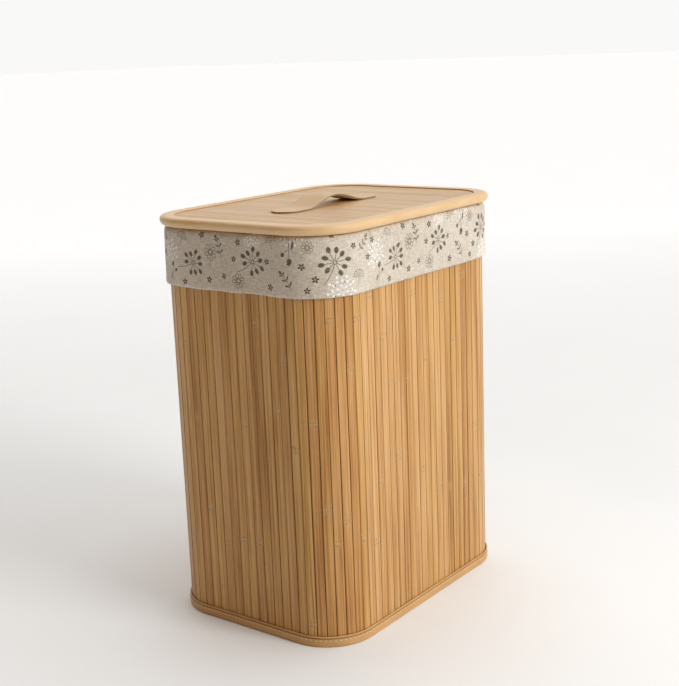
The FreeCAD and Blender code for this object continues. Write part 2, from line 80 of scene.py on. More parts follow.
# Knots of the outline: the corner's or side's centre point, and the way the wall faces there.
KNOT_X = np.array([0, -1, -1, -1, -1, 1, 1, 1, 1, 0]) * STRAIGHT_X
KNOT_Y = np.array([1, 1, 1, -1, -1, -1, -1, 1, 1, 1]) * STRAIGHT_Y
KNOT_FACING = np.radians([90, 90, 180, 180, 270, 270, 360, 360, 450, 450])
KNOT_ROUND = np.concatenate(
    [[0], np.cumsum(np.hypot(np.diff(KNOT_X), np.diff(KNOT_Y)) + CORNER * np.diff(KNOT_FACING))]
)
PERIMETER = KNOT_ROUND[-1]
# The walls in order round the outline, after the back wall that spans its start, with their numbers of slats.
# Each one runs from one knot to the next, and the first starts at the second knot.
WALLS = {
    "back_left_corner": CORNER_SLATS,
    "left_wall": SHORT_SLATS,
    "front_left_corner": CORNER_SLATS,
    "front_wall": LONG_SLATS,
    "front_right_corner": CORNER_SLATS,
    "right_wall": SHORT_SLATS,
    "back_right_corner": CORNER_SLATS,
}


def linear(code):
    """The linear colour of a hex code, by the usual curve for screen colours."""
    parts = np.array([int(code[place : place + 2], 16) for place in (0, 2, 4)]) / 255
    low = parts / 12.92
    high = ((parts + 0.055) / 1.055) ** 2.4
    return tuple(np.where(parts <= 0.04045, low, high).tolist())


# ---------------------------------------------------------------- shapes


def outline_at(around):
    """Centre points and facing directions of the outline.

    Both run straight from knot to knot: on a side only the centre moves, on a corner only the facing turns.
    """
    around = np.mod(around, PERIMETER)
    facing = np.interp(around, KNOT_ROUND, KNOT_FACING)
    centre = np.stack([np.interp(around, KNOT_ROUND, KNOT_X), np.interp(around, KNOT_ROUND, KNOT_Y)], axis=-1)
    return centre, np.stack([np.cos(facing), np.sin(facing)], axis=-1)


def ring_points(around, offset, height):
    """Points at a distance round the outline: centre + facing x (corner radius + offset), at a height."""
    centre, facing = outline_at(around)
    flat = centre + facing * (CORNER + offset)[..., None]
    return np.concatenate([flat, (height + np.zeros_like(offset))[..., None]], axis=-1)


def stations(step):
    """Distances round the outline: each stretch from knot to knot is divided evenly, at about one step."""
    parts = []
    for start, end in zip(KNOT_ROUND[:-1], KNOT_ROUND[1:]):
        count = max(2, round((end - start) / step))
        parts.append(start + (end - start) * np.arange(count) / count)
    return np.concatenate(parts)


def wave(around, seed, longest=3, shortest=24, slope=1.0):
    """A gentle random wave that closes on itself round the outline, with values of about -1 to 1.

    It is a sum of sines that turn a whole number of times round the outline, from longest to shortest. Each
    has a normal random size, divided by its turns to the power slope.
    """
    draw = np.random.default_rng(seed)
    total = np.zeros_like(around)
    weight = 0
    for turns in range(longest, shortest + 1):
        size = draw.normal() / turns**slope
        total += size * np.sin(TURN * (turns * around / PERIMETER + draw.random()))
        weight += size * size / 2
    return total / math.sqrt(weight) / 1.6


def arc_points(middle, radius, start, end, count):
    """Points of a profile along an arc, from one angle in degrees to another."""
    angle = np.radians(np.linspace(start, end, count))
    return np.stack([middle[0] + radius * np.cos(angle), middle[1] + radius * np.sin(angle)], axis=-1)


def oval_points(middle, radii, start, end, count):
    """Points of a profile along part of an oval, from one angle in degrees to another."""
    return (arc_points((0, 0), 1.0, start, end, count) * radii) + middle


def distances_along(path):
    """The distance along a path of straight lines to each of its points."""
    return np.concatenate([[0], np.cumsum(np.hypot(*np.diff(path, axis=0).T))])


def ring_uv(around, run):
    """Cloth coordinates for a piece that closes round the outline: how far round, and how far along."""
    return np.stack(np.meshgrid(np.append(around, PERIMETER), run, indexing="ij"), axis=-1)[None]


def make_piece(name, points, material, body, slot, wrap=(True, False), uv=None, caps=False, sharp=40,
               stands_for=(), values=None):
    """Makes one closed piece from grids of points, and lets it ride on a body.

    points holds grids as (grid, row, column, xyz). Neighbouring rows and columns are joined by four-sided
    faces, and wrap joins the last row or column to the first. caps closes both ends of tubes whose rows wrap.
    uv holds one more row or column than the points where they wrap. values are numbers for the material.
    """
    count, rows, columns = points.shape[:3]
    last_row, last_column = rows - 1 + wrap[0], columns - 1 + wrap[1]
    row, column = np.meshgrid(np.arange(last_row), np.arange(last_column), indexing="ij")
    corners = [(row, column), (row + 1, column), (row + 1, column + 1), (row, column + 1)]
    one = np.stack([(r % rows) * columns + c % columns for r, c in corners], axis=-1).reshape(-1, 4)
    starts = np.arange(count) * rows * columns
    faces = (starts[:, None, None] + one).reshape(-1, 4).tolist()
    if uv is not None:
        face_uv = [np.stack([uv[:, r, c] for r, c in corners], axis=-2).reshape(-1, 2)]
    if caps:
        ring = np.arange(rows) * columns
        low = (starts[:, None] + ring[::-1]).tolist()
        high = (starts[:, None] + ring + columns - 1).tolist()
        faces += low + high
        if uv is not None:
            face_uv += [uv[:, rows - 1 :: -1, 0].reshape(-1, 2), uv[:, :rows, columns - 1].reshape(-1, 2)]
    mesh = bpy.data.meshes.new(name)
    mesh.from_pydata(points.reshape(-1, 3).tolist(), [], faces)
    if uv is not None:
        layer = mesh.uv_layers.new(name="cloth")
        layer.uv.foreach_set("vector", np.concatenate(face_uv).astype(np.float32).ravel())
    for label, data in (values or {}).items():
        spread = np.broadcast_to(data, points.shape[:3]).astype(np.float32)
        mesh.attributes.new(label, "FLOAT", "POINT").data.foreach_set("value", spread.ravel())
    tidy_mesh(mesh)
    mesh.polygons.foreach_set("use_smooth", np.ones(len(mesh.polygons), bool))
    mesh.set_sharp_from_angle(angle=math.radians(sharp))
    mesh.materials.append(material)
    mesh.validate()
    piece = bpy.data.objects.new(name, mesh)
    bpy.context.scene.collection.objects.link(piece)
    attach(piece, body)
    if stands_for:
        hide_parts(*stands_for)
    return piece


def tidy_mesh(mesh):
    """Merges points that lie on each other, as at a pole, and turns all faces outwards."""
    work = bmesh.new()
    work.from_mesh(mesh)
    bmesh.ops.remove_doubles(work, verts=work.verts, dist=0.001 * MM)
    bmesh.ops.recalc_face_normals(work, faces=work.faces)
    work.to_mesh(mesh)
    work.free()


def ring_piece(name, profile, step, material, body, slot, ripple=None, **options):
    """A closed profile of (offset, height) points carried round the outline in steps.

    ripple, if given, takes the distances round and the profile's points, and returns what to add to the
    offsets.
    """
    around = stations(step)[:, None]
    offset = profile[None, :, 0] + (ripple(around, profile) if ripple else 0 * around)
    height = profile[None, :, 1] + 0 * around
    points = ring_points(around + 0 * offset, offset, height)[None]
    uv = ring_uv(around, distances_along(np.vstack([profile, profile[:1]])))
    return make_piece(name, points, material, body, slot, wrap=(True, True), uv=uv, **options)


# ---------------------------------------------------------------- material nodes
# In the finishes a number that multiplies a distance is repeats per metre, and bumps are in metres.


class Signal:
    """A number that varies over a surface. Arithmetic on it adds nodes."""

    def __init__(self, tree, socket):
        self.tree = tree
        self.socket = socket

    def calc(self, operation, *others, clamp=False):
        return calc(self.tree, operation, self, *others, clamp=clamp)

    def __add__(self, other):
        return self.calc("ADD", other)

    def __sub__(self, other):
        return self.calc("SUBTRACT", other)

    def __rsub__(self, other):
        return calc(self.tree, "SUBTRACT", other, self)

    def __mul__(self, other):
        return self.calc("MULTIPLY", other)

    def __truediv__(self, other):
        return self.calc("DIVIDE", other)

    def __abs__(self):
        return self.calc("ABSOLUTE")

    __radd__ = __add__
    __rmul__ = __mul__


def calc(tree, operation, *items, clamp=False):
    """One Math node."""
    node = tree.nodes.new("ShaderNodeMath")
    node.operation = operation
    node.use_clamp = clamp
    for place, item in enumerate(items):
        feed(tree, item, node.inputs[place])
    return Signal(tree, node.outputs[0])


def feed(tree, item, socket):
    """Links a signal or a socket to an input, or sets a plain value or colour on it."""
    if isinstance(item, Signal):
        tree.links.new(item.socket, socket)
    elif isinstance(item, bpy.types.NodeSocket):
        tree.links.new(item, socket)
    elif socket.type == "RGBA":
        socket.default_value = (*item, 1)
    else:
        socket.default_value = item


class Finish:
    """A material under construction: one shader, and short calls that add nodes to it."""

    def __init__(self, name, **shader_values):
        self.material = bpy.data.materials.new(name)
        self.material.use_nodes = True
        self.tree = self.material.node_tree
        self.shader = self.tree.nodes["Principled BSDF"]
        for socket, value in shader_values.items():
            self.shader.inputs[socket.replace("_", " ")].default_value = value

    def node(self, kind, inputs=None, **settings):
        """One node, with its settings made and its inputs fed."""
        node = self.tree.nodes.new(kind)
        for key, value in settings.items():
            setattr(node, key, value)
        for socket, item in (inputs or {}).items():
            feed(self.tree, item, node.inputs[socket])
        return node

    def split(self, vector):
        """The three numbers of a vector."""
        parts = self.node("ShaderNodeSeparateXYZ", {"Vector": vector})
        return tuple(Signal(self.tree, out) for out in parts.outputs)

    def uv(self):
        """The piece's own distances along and across, in metres."""
        return self.split(self.node("ShaderNodeUVMap", uv_map="cloth").outputs[0])[:2]

    def place(self):
        """Object coordinates, in metres."""
        return self.split(self.node("ShaderNodeTexCoord").outputs["Object"])

    def value(self, name):
        """A number stored on the piece."""
        return Signal(self.tree, self.node("ShaderNodeAttribute", attribute_name=name).outputs["Fac"])

    def vector(self, across, along, third=0.0):
        """Three signals or numbers as one vector."""
        return self.node("ShaderNodeCombineXYZ", {0: across, 1: along, 2: third}).outputs[0]

    def noise(self, across, along, third=0.0, detail=2.0, roughness=0.5, distortion=0.0):
        """Smooth noise of about 0.3 to 0.7, at a place given by three signals or numbers."""
        inputs = {"Vector": self.vector(across, along, third), "Scale": 1.0, "Detail": detail}
        inputs |= {"Roughness": roughness, "Distortion": distortion}
        return Signal(self.tree, self.node("ShaderNodeTexNoise", inputs).outputs[0])

    def cloud(self, place, scale, detail=3.0):
        """The same noise in space, with blotches of one size each way."""
        return self.noise(*(part * scale for part in place), detail=detail)

    def random(self, value):
        """Three random numbers for each value."""
        node = self.node("ShaderNodeTexWhiteNoise", {"W": value}, noise_dimensions="1D")
        return self.split(node.outputs["Color"])

    def spread(self, signal, low=0.3, high=0.7, new_low=0.0, new_high=1.0):
        """Stretches low..high, by default a noise's own span, to new_low..new_high, and holds it there."""
        node = self.node("ShaderNodeMapRange", {0: signal, 1: low, 2: high, 3: new_low, 4: new_high})
        return Signal(self.tree, node.outputs[0])

    def ramp(self, signal, stops):
        """A colour from a row of (position, colour) stops."""
        node = self.node("ShaderNodeValToRGB", {0: signal})
        while len(node.color_ramp.elements) < len(stops):
            node.color_ramp.elements.new(0.5)
        for element, (position, colour) in zip(node.color_ramp.elements, stops):
            element.position = position
            element.color = (*colour, 1)
        return node.outputs[0]

    def mix(self, share, first, second, blend="MIX"):
        """Two colours mixed."""
        node = self.node("ShaderNodeMix", data_type="RGBA", blend_type=blend)
        for place, item in ((0, share), (6, first), (7, second)):
            feed(self.tree, item, node.inputs[place])
        return node.outputs[2]

    def shade(self, colour, amount):
        """The colour times a grey amount."""
        return self.mix(1.0, colour, self.vector(amount, amount, amount), blend="MULTIPLY")

    def bump(self, height, depth, strength=1.0, under=None):
        """A normal from a height of 0 to 1, which stands for that depth in metres."""
        inputs = {"Height": height, "Distance": depth, "Strength": strength}
        if under is not None:
            inputs["Normal"] = under
        return self.node("ShaderNodeBump", inputs).outputs[0]

    def done(self, colour, roughness=None, normal=None):
        """Links the finished colour, roughness and normal to the shader."""
        for socket, item in (("Base Color", colour), ("Roughness", roughness), ("Normal", normal)):
            if item is not None:
                feed(self.tree, item, self.shader.inputs[socket])
        return self.material


# ---------------------------------------------------------------- finishes


# Brown of the painted shade on the slats' edges, where they turn into the gaps between slats.
GAP_SHADE_BROWN = linear("84501F")


def bamboo_finish(name, light, middle, dark, gloss, between=0.34, edges=0.55, joint_gap=0.36):
    """Varnished bamboo. Each slat has its own tone, with streaks and fine pores along it, and painted shade
    on its edges.

    between is how far the slats' tones differ. A cane joint crosses each slat about once in joint_gap metres:
    two faint lines with specks between them. gloss is the mean roughness, and edges how dark the painted edge
    shade is.
    """
    made = Finish(name, Coat_Weight=0.10, Coat_Roughness=0.28, Specular_IOR_Level=0.35)
    across, along = made.uv()
    slat = made.value("slat")
    tone, shift, joints = made.random(slat * 977.0)
    sway = made.noise(along * 3.0, slat * 37.0, detail=1.0) * 0.004
    side = across + sway
    streaks = made.noise(side * 420.0, along * 3.5, slat * 300.0, detail=3.0, roughness=0.6)
    fibres = made.noise(side * 2600.0, along * 14.0, slat * 310.0, detail=3.0, roughness=0.6)
    blotch = made.noise(side * 70.0, along * 5.0, slat * 290.0, detail=2.0)
    mixed = (tone - 0.5) * between + 0.5 + (streaks - 0.5) * 1.9
    mixed = mixed + (fibres - 0.5) * 0.8 + (blotch - 0.5) * 0.8
    colour = made.ramp(mixed, [(0.0, dark), (0.5, middle), (1.0, light)])
    pink = made.mix(1.0, colour, (1.0, 0.95, 1.0), "MULTIPLY")
    gold = made.mix(1.0, colour, (1.0, 0.98, 0.88), "MULTIPLY")
    colour = made.mix(made.spread(shift, 0.2, 0.7), pink, gold)
    pores = made.spread(fibres, 0.60, 0.74, 1.0, 0.80)
    colour = made.shade(colour, pores)
    wobble = made.noise(across * 160.0, slat * 50.0, detail=2.0) * 0.0035
    spacing = joints * joint_gap * 0.6 + joint_gap * 0.7
    height = (along + wobble + tone * 3.0).calc("WRAP", spacing, 0.0)
    near = abs(height - spacing * 0.5)
    line = abs(near - 0.0028)
    broken = made.spread(made.noise(across * 700.0, along * 90.0, slat, detail=1.0), 0.4, 0.6)
    ridge = made.spread(line, 0.0003, 0.0014, 1.0, 0.0) * broken
    specks = made.noise(across * 1500.0, along * 600.0, slat, detail=2.0)
    zone = made.spread(near, 0.0025, 0.0085, 1.0, 0.0)
    specks = made.spread(specks, 0.52, 0.64) * zone
    colour = made.mix(zone * 0.42, colour, light)
    colour = made.shade(colour, 1.0 - (ridge * 0.42).calc("MAXIMUM", specks * 0.58))
    # Painted shade: the slats' edges along the gaps are darkened towards a brown.
    colour = made.mix(made.spread(made.value("rim"), 0.80, 1.0) * edges, colour, GAP_SHADE_BROWN)
    rough = made.spread(streaks, 0.3, 0.7, gloss - 0.05, gloss + 0.10)
    grain = made.bump(fibres * 0.6 + streaks * 0.4, 0.00025, 0.7)
    knuckle = made.bump(ridge * -0.5 + zone * 0.8, 0.0004, 0.6, under=grain)
    return made.done(colour, rough, knuckle)


def tape_finish(name, colour, worn, gloss, thread_scale=1500.0):
    """Coated binding tape: a fine cross weave under a smooth coat, a little paler where it is worn, and
    darkened by painted shade where a groove value is marked.
    """
    made = Finish(name, Coat_Weight=0.10, Coat_Roughness=0.35)
    around, over = made.uv()
    weave = made.noise(around * thread_scale, over * thread_scale * 0.9, detail=1.0)
    cloud = made.noise(around * 26.0, over * 60.0, detail=3.0)
    streak = made.noise(around * 40.0, over * 900.0, detail=2.0)
    mixed = made.spread(cloud) * 0.6 + made.spread(streak) * 0.4
    tinted = made.mix(mixed, colour, worn)
    # The groove value darkens the base binding's groove with painted shade.
    tinted = made.shade(tinted, made.spread(weave, 0.35, 0.65, 0.93, 1.04) - made.value("groove") * 0.5)
    rough = made.spread(cloud, 0.3, 0.7, gloss, gloss + 0.14)
    return made.done(tinted, rough, made.bump(weave + cloud * 0.4, 0.00012, 0.5))


def weave_signals(made, across, along, pitch, slub=0.5):
    """Plain weave: threads both ways that pass over and under, and slubs where a thread is thicker."""
    warp = (across * (TURN / 2 / pitch)).calc("SINE")
    weft = (along * (TURN / 2 / pitch)).calc("SINE")
    threads = abs(warp) * 0.5 + abs(weft) * 0.5
    cross = made.noise(across * 60.0, along * 1500.0, detail=2.0)
    long = made.noise(across * 1500.0, along * 70.0, detail=2.0)
    slubs = made.spread(cross, 0.35, 0.68) * slub + made.spread(long, 0.35, 0.68) * (1 - slub)
    return threads, slubs


def cloth_finish(name, colour, shadow, pitch, sheen=0.25, rough=0.9):
    """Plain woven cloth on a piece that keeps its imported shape, woven along object coordinates."""
    made = Finish(name, Sheen_Weight=sheen, Sheen_Roughness=0.6, Specular_IOR_Level=0.2)
    x, y, z = made.place()
    flat, upright = x + y * 0.731, z + y * 0.143
    threads, slubs = weave_signals(made, flat, upright, pitch)
    cloud = made.cloud((x, y, z), 14.0)
    mixed = threads * 0.45 + slubs * 0.35 + made.spread(cloud) * 0.2
    colour = made.mix(mixed, shadow, colour)
    roughness = made.spread(slubs, 0.0, 1.0, rough, rough - 0.12)
    return made.done(colour, roughness, made.bump(threads + slubs, pitch / 4))


def fold_cloth_finish(name, colour, shadow, pitch):
    """Plain woven cloth on a piece with its own distances along and across."""
    made = Finish(name, Sheen_Weight=0.25, Sheen_Roughness=0.6, Specular_IOR_Level=0.2)
    across, along = made.uv()
    threads, slubs = weave_signals(made, across, along, pitch)
    cloud = made.noise(across * 9.0, along * 9.0, detail=3.0)
    mixed = threads * 0.4 + slubs * 0.4 + made.spread(cloud) * 0.2
    return made.done(made.mix(mixed, shadow, colour), 0.9, made.bump(threads + slubs * 0.8, pitch / 4))


# ---------------------------------------------------------------- the printed pattern

INK_SOFTNESS = 0.045


def ink(distance):
    """Full ink where a distance is below zero, none above, with a soft edge."""
    return (0.5 - distance / INK_SOFTNESS).calc("ADD", 0.0, clamp=True)


def union(first, *others):
    """The most ink of several."""
    for other in others:
        first = first.calc("MAXIMUM", other)
    return first


def nearest(first, *others):
    """The least of several distances, which is the distance to all the shapes together."""
    for other in others:
        first = first.calc("MINIMUM", other)
    return first


def polar(x, y):
    """Angle and distance from the middle."""
    return y.calc("ARCTAN2", x), (x * x + y * y).calc("SQRT")


def spokes(angle, reach, count):
    """Folds the plane into equal wedges.

    Returns how far along and across a wedge's middle line each place is, and the wedge's number.
    """
    step = TURN / count
    number = (angle / step).calc("ROUND")
    local = angle - number * step
    return reach * local.calc("COSINE"), reach * local.calc("SINE"), number


def oval(along, across, middle, long, wide):
    """Distance to an oval, about right near its edge."""
    far = (((along - middle) / long).calc("POWER", 2.0) + (across / wide).calc("POWER", 2.0)).calc("SQRT")
    return (far - 1.0) * min(long, wide)


def stroke(along, across, start, end, width):
    """Distance to a straight stroke from start to end."""
    past = (start - along).calc("MAXIMUM", along - end)
    return (abs(across) - width / 2).calc("MAXIMUM", past)


def umbel(x, y):
    """A seed head: oval seeds on stalks round a small ring, with a long curved stem."""
    angle, reach = polar(x, y)
    along, across, number = spokes(angle, reach, 10)
    tip = (number * 2.3).calc("COSINE") * 0.12 + 0.68
    clear = 0.25 - abs(angle + 1.95)
    lean = (number * 4.1).calc("COSINE") * 0.15
    seeds = oval(along - tip, across + (along - tip) * lean, 0.10, 0.20, 0.145)
    stalks = stroke(along, across, 0.12, 0.78, 0.042)
    heads = nearest(seeds, stalks).calc("MAXIMUM", clear)
    ring = abs(reach - 0.105) - 0.026
    down = x * -0.37 + y * -0.93
    side = x * 0.93 + y * -0.37 + down * down * 0.16
    stem = stroke(down, side, 0.1, 1.5, 0.045)
    return ink(nearest(heads, ring, stem))


def floret(x, y):
    """A small flower of five narrow petals."""
    angle, reach = polar(x, y)
    petals = abs((angle * 2.5).calc("COSINE")).calc("POWER", 0.7) * 0.74 + 0.20
    heart = 0.13 - abs(reach - 0.05)
    return ink((reach - petals).calc("MAXIMUM", heart))


def sprig(x, y):
    """A stem with pairs of pointed leaves and a bud."""
    side = x + y * y * 0.12
    rung = (y * 1.6).calc("ROUND") / 1.6
    rise = y - rung - abs(side) * 0.7
    leaf = oval(abs(side), rise, 0.26, 0.24, 0.10).calc("MAXIMUM", abs(y) - 0.85)
    stem = stroke(y, side, -1.1, 1.0, 0.05)
    bud = oval(y, side, 1.02, 0.22, 0.14)
    return ink(nearest(leaf, stem, bud))


def seed_pod(x, y):
    """Two round pods with crowns on a forked stem."""
    left = oval(y, x + 0.34, 0.62, 0.22, 0.19)
    right = oval(y, x - 0.30, 0.30, 0.18, 0.15)
    crown = stroke(y, x + 0.34, 0.80, 0.93, 0.30)
    stem = stroke(y, x + 0.34 - (0.62 - y) * 0.26, -1.0, 0.5, 0.05)
    fork = stroke(y, x - 0.30 + (0.30 - y) * 0.62, -0.22, 0.2, 0.045)
    leaf = oval(y, x + 0.30, -0.62, 0.34, 0.085)
    return ink(nearest(left, right, crown, stem, fork, leaf))


def rosette(x, y):
    """A ball of looped petals round a dotted heart, on a thin stem."""
    angle, reach = polar(x, y)
    along, across, _ = spokes(angle, reach, 9)
    loops = abs(oval(along, across, 0.66, 0.30, 0.20)) - 0.028
    inner, beside, _ = spokes(angle + 0.3, reach, 7)
    dots = oval(inner, beside, 0.27, 0.10, 0.075)
    stem = stroke(y * -1.0, x + y * y * 0.05, 0.9, 2.1, 0.05)
    return ink(nearest(loops, dots, stem))


def dotted_fan(x, y):
    """Dots on thin stalks over the upper half, above a short stem."""
    angle, reach = polar(x, y)
    along, across, _ = spokes(angle, reach, 16)
    dots = oval(along, across, 0.88, 0.10, 0.10)
    inner = oval(along, across, 0.55, 0.055, 0.055)
    stalks = stroke(along, across, 0.1, 0.8, 0.03)
    fan = nearest(dots, inner, stalks).calc("MAXIMUM", -0.12 - y)
    stem = stroke(y * -1.0, x, 0.0, 1.1, 0.05)
    return ink(nearest(fan, stem))


def clock(x, y):
    """A dandelion clock in white: rings of tufts on thin rays."""
    angle, reach = polar(x, y)
    outer, outer_side, _ = spokes(angle, reach, 18)
    middle, middle_side, _ = spokes(angle + 0.2, reach, 12)
    inner, inner_side, _ = spokes(angle + 0.5, reach, 6)
    tufts = union(
        ink(oval(outer, outer_side, 0.90, 0.085, 0.075)),
        ink(oval(middle, middle_side, 0.62, 0.085, 0.075)),
        ink(oval(inner, inner_side, 0.32, 0.075, 0.075)),
    )
    return union(tufts, ink(stroke(outer, outer_side, 0.1, 0.85, 0.022)) * 0.8)


def clock_dots(x, y):
    """The dark hearts of a dandelion clock's tufts."""
    angle, reach = polar(x, y)
    outer, outer_side, _ = spokes(angle, reach, 9)
    middle, middle_side, _ = spokes(angle + 0.2, reach, 5)
    dots = [oval(outer, outer_side, 0.90, 0.045, 0.045), oval(middle, middle_side, 0.55, 0.045, 0.045)]
    return union(*(ink(dot) for dot in dots))


# One repeat of the print: shape, millimetres along and up from the hem, size in millimetres, turn in degrees.
DARK_PRINT = [
    (umbel, 38, 42, 19, -25), (umbel, 152, 44, 20, 8), (umbel, 268, 34, 18, -40), (umbel, 214, 92, 17, 30),
    (sprig, 92, 22, 13, 35), (sprig, 196, 62, 12, -50), (sprig, 316, 58, 13, 15), (sprig, 60, 96, 12, 70),
    (seed_pod, 94, 58, 17, 165), (seed_pod, 232, 20, 13, -20), (seed_pod, 130, 98, 13, 20),
    (rosette, 300, 50, 11, 0), (rosette, 14, 16, 10, 25), (rosette, 120, 64, 8, -30),
    (dotted_fan, 186, 22, 10, -8), (dotted_fan, 70, 70, 9, 12), (dotted_fan, 250, 66, 9, -15),
    (floret, 66, 12, 5, 0), (floret, 62, 44, 4.5, 30), (floret, 112, 40, 5, 55), (floret, 118, 10, 4.5, 20),
    (floret, 128, 24, 5, 10), (floret, 178, 62, 4.5, 45), (floret, 206, 44, 5, 5), (floret, 216, 64, 4.5, 65),
    (floret, 252, 8, 4.5, 25), (floret, 286, 72, 5, 40), (floret, 296, 14, 5, 12), (floret, 16, 66, 5, 33),
    (floret, 8, 44, 4.5, 8), (floret, 322, 20, 4.5, 50), (floret, 150, 78, 4.5, 18), (floret, 176, 100, 5, 0),
    (floret, 20, 98, 5, 30), (floret, 280, 100, 5, 10),
]
WHITE_PRINT = [(160, 8, 20, 10), (222, 46, 20, 0), (100, 82, 18, 30), (312, 92, 18, 0), (40, 74, 14, 20)]
REPEAT = PERIMETER / 4


def motif_group(shape):
    """A node group that draws one shape, made once."""
    name = "print_" + shape.__name__
    if name in bpy.data.node_groups:
        return bpy.data.node_groups[name]
    tree = bpy.data.node_groups.new(name, "ShaderNodeTree")
    tree.interface.new_socket("Place", in_out="INPUT", socket_type="NodeSocketVector")
    tree.interface.new_socket("Ink", in_out="OUTPUT", socket_type="NodeSocketFloat")
    parts = tree.nodes.new("ShaderNodeSeparateXYZ")
    tree.links.new(tree.nodes.new("NodeGroupInput").outputs[0], parts.inputs[0])
    result = shape(Signal(tree, parts.outputs[0]), Signal(tree, parts.outputs[1]))
    tree.links.new(result.socket, tree.nodes.new("NodeGroupOutput").inputs[0])
    return tree


def printed(made, vector, shape, x, y, size, turn):
    """One motif of the print, set in its place."""
    inputs = {"Vector": vector, "Location": (x, y, 0), "Scale": (size, size, 1)}
    inputs["Rotation"] = (0, 0, math.radians(turn))
    local = made.node("ShaderNodeMapping", inputs, vector_type="TEXTURE").outputs[0]
    group = made.node("ShaderNodeGroup", node_tree=motif_group(shape))
    feed(made.tree, local, group.inputs[0])
    return Signal(made.tree, group.outputs[0])


def linen_finish(cloth, shadow, dark_ink, white_ink):
    """Slubby linen, printed with seed heads, sprigs and small flowers in brown and white."""
    made = Finish("printed_linen", Sheen_Weight=0.2, Sheen_Roughness=0.6, Specular_IOR_Level=0.2)
    across, along = made.uv()
    threads, slubs = weave_signals(made, across, along, 0.55 * MM, slub=0.65)
    cloud = made.noise(across * 7.0, along * 7.0, detail=3.0)
    knots = made.noise(across * 120.0, along * 850.0, detail=3.0, roughness=0.65)
    bars = made.noise(across * 850.0, along * 130.0, detail=3.0, roughness=0.65)
    slubs = slubs * 0.3 + made.spread(knots, 0.38, 0.60) * 0.40 + made.spread(bars, 0.38, 0.60) * 0.30
    mixed = threads * 0.15 + slubs * 0.65 + made.spread(cloud) * 0.20
    ground = made.mix(made.spread(mixed, 0.15, 0.75), shadow, cloth)
    pattern = made.vector((across / REPEAT).calc("FRACT") * (REPEAT / MM), along / MM)
    white = union(*(printed(made, pattern, clock, *spot) for spot in WHITE_PRINT))
    dark_spots = DARK_PRINT + [(clock_dots, *spot) for spot in WHITE_PRINT]
    dark = union(*(printed(made, pattern, *spot) for spot in dark_spots))
    # Ink sits on the raised threads and misses a little between them.
    cover = made.spread(slubs, 0.1, 0.6, 0.62, 0.97)
    inked = made.mix(white * cover, ground, white_ink)
    inked = made.mix(dark * cover, inked, dark_ink)
    return made.done(inked, 0.88, made.bump(threads * 0.7 + slubs, 0.00018, 0.8))


# ---------------------------------------------------------------- pieces
# Edges that turn by more than this many degrees are shaded sharp: a slat's corners are, and none on cloth.
SLAT_SHARP, SMOOTH = 50, 180


def slat_section(width, seed, count, relief=1.0):
    """Sections of slats seen end on: a slightly crowned face with rounded edges, and a flat back.

    Returns the distances across, one row for each slat, the depths behind the face, and how near each point
    is to an edge, from 0 to 1. Each slat has its own width, depth and lean, within a few tenths of a
    millimetre. relief scales the rounding.
    """
    draw = np.random.default_rng(seed)
    half = width / 2 - draw.uniform(0.0, 0.30, (count, 1)) ** 2 * 2.2 * MM
    shares = np.array([-1, -1, -1, -1, -0.5, 0, 0.5, 1, 1, 1, 1])
    insets = np.array([0.12, 0, 0.22, 0.8, 0, 0, 0, -0.8, -0.22, 0, -0.12]) * MM
    depths = np.array([-1.95, -0.75, -0.24, -0.04, 0.0, 0.02, 0.0, -0.04, -0.24, -0.75, -1.95]) * MM
    across = shares * half + insets
    depth = depths + draw.uniform(-0.22, 0.02, (count, 1)) * MM
    depth = (depth + shares * draw.normal(0, 0.07, (count, 1)) * MM) * relief
    depth[:, [0, -1]] = -1.98 * MM
    rim = np.abs(shares) * np.array([1, 1, 0.96, 0.75, 1, 0, 1, 0.75, 0.96, 1, 1])
    return across, depth, rim


SLAT_ROWS = 15
# Corner slats are set in, so that their flat faces stay inside the outline.
CORNER_INSET = 0.35 * MM


def build_wall_slats(settings):
    """The upright slats: flat strips side by side along each wall and round each corner."""
    tones = settings.slat_light, settings.slat_colour, settings.slat_dark
    finish = bamboo_finish("bamboo_slats", *tones, 0.40)
    build_slat_row("back_wall", -STRAIGHT_X, STRAIGHT_X, LONG_SLATS, 1, finish, settings)
    for knot, (wall, count) in enumerate(WALLS.items(), start=1):
        build_slat_row(wall, KNOT_ROUND[knot], KNOT_ROUND[knot + 1], count, knot + 2, finish, settings)


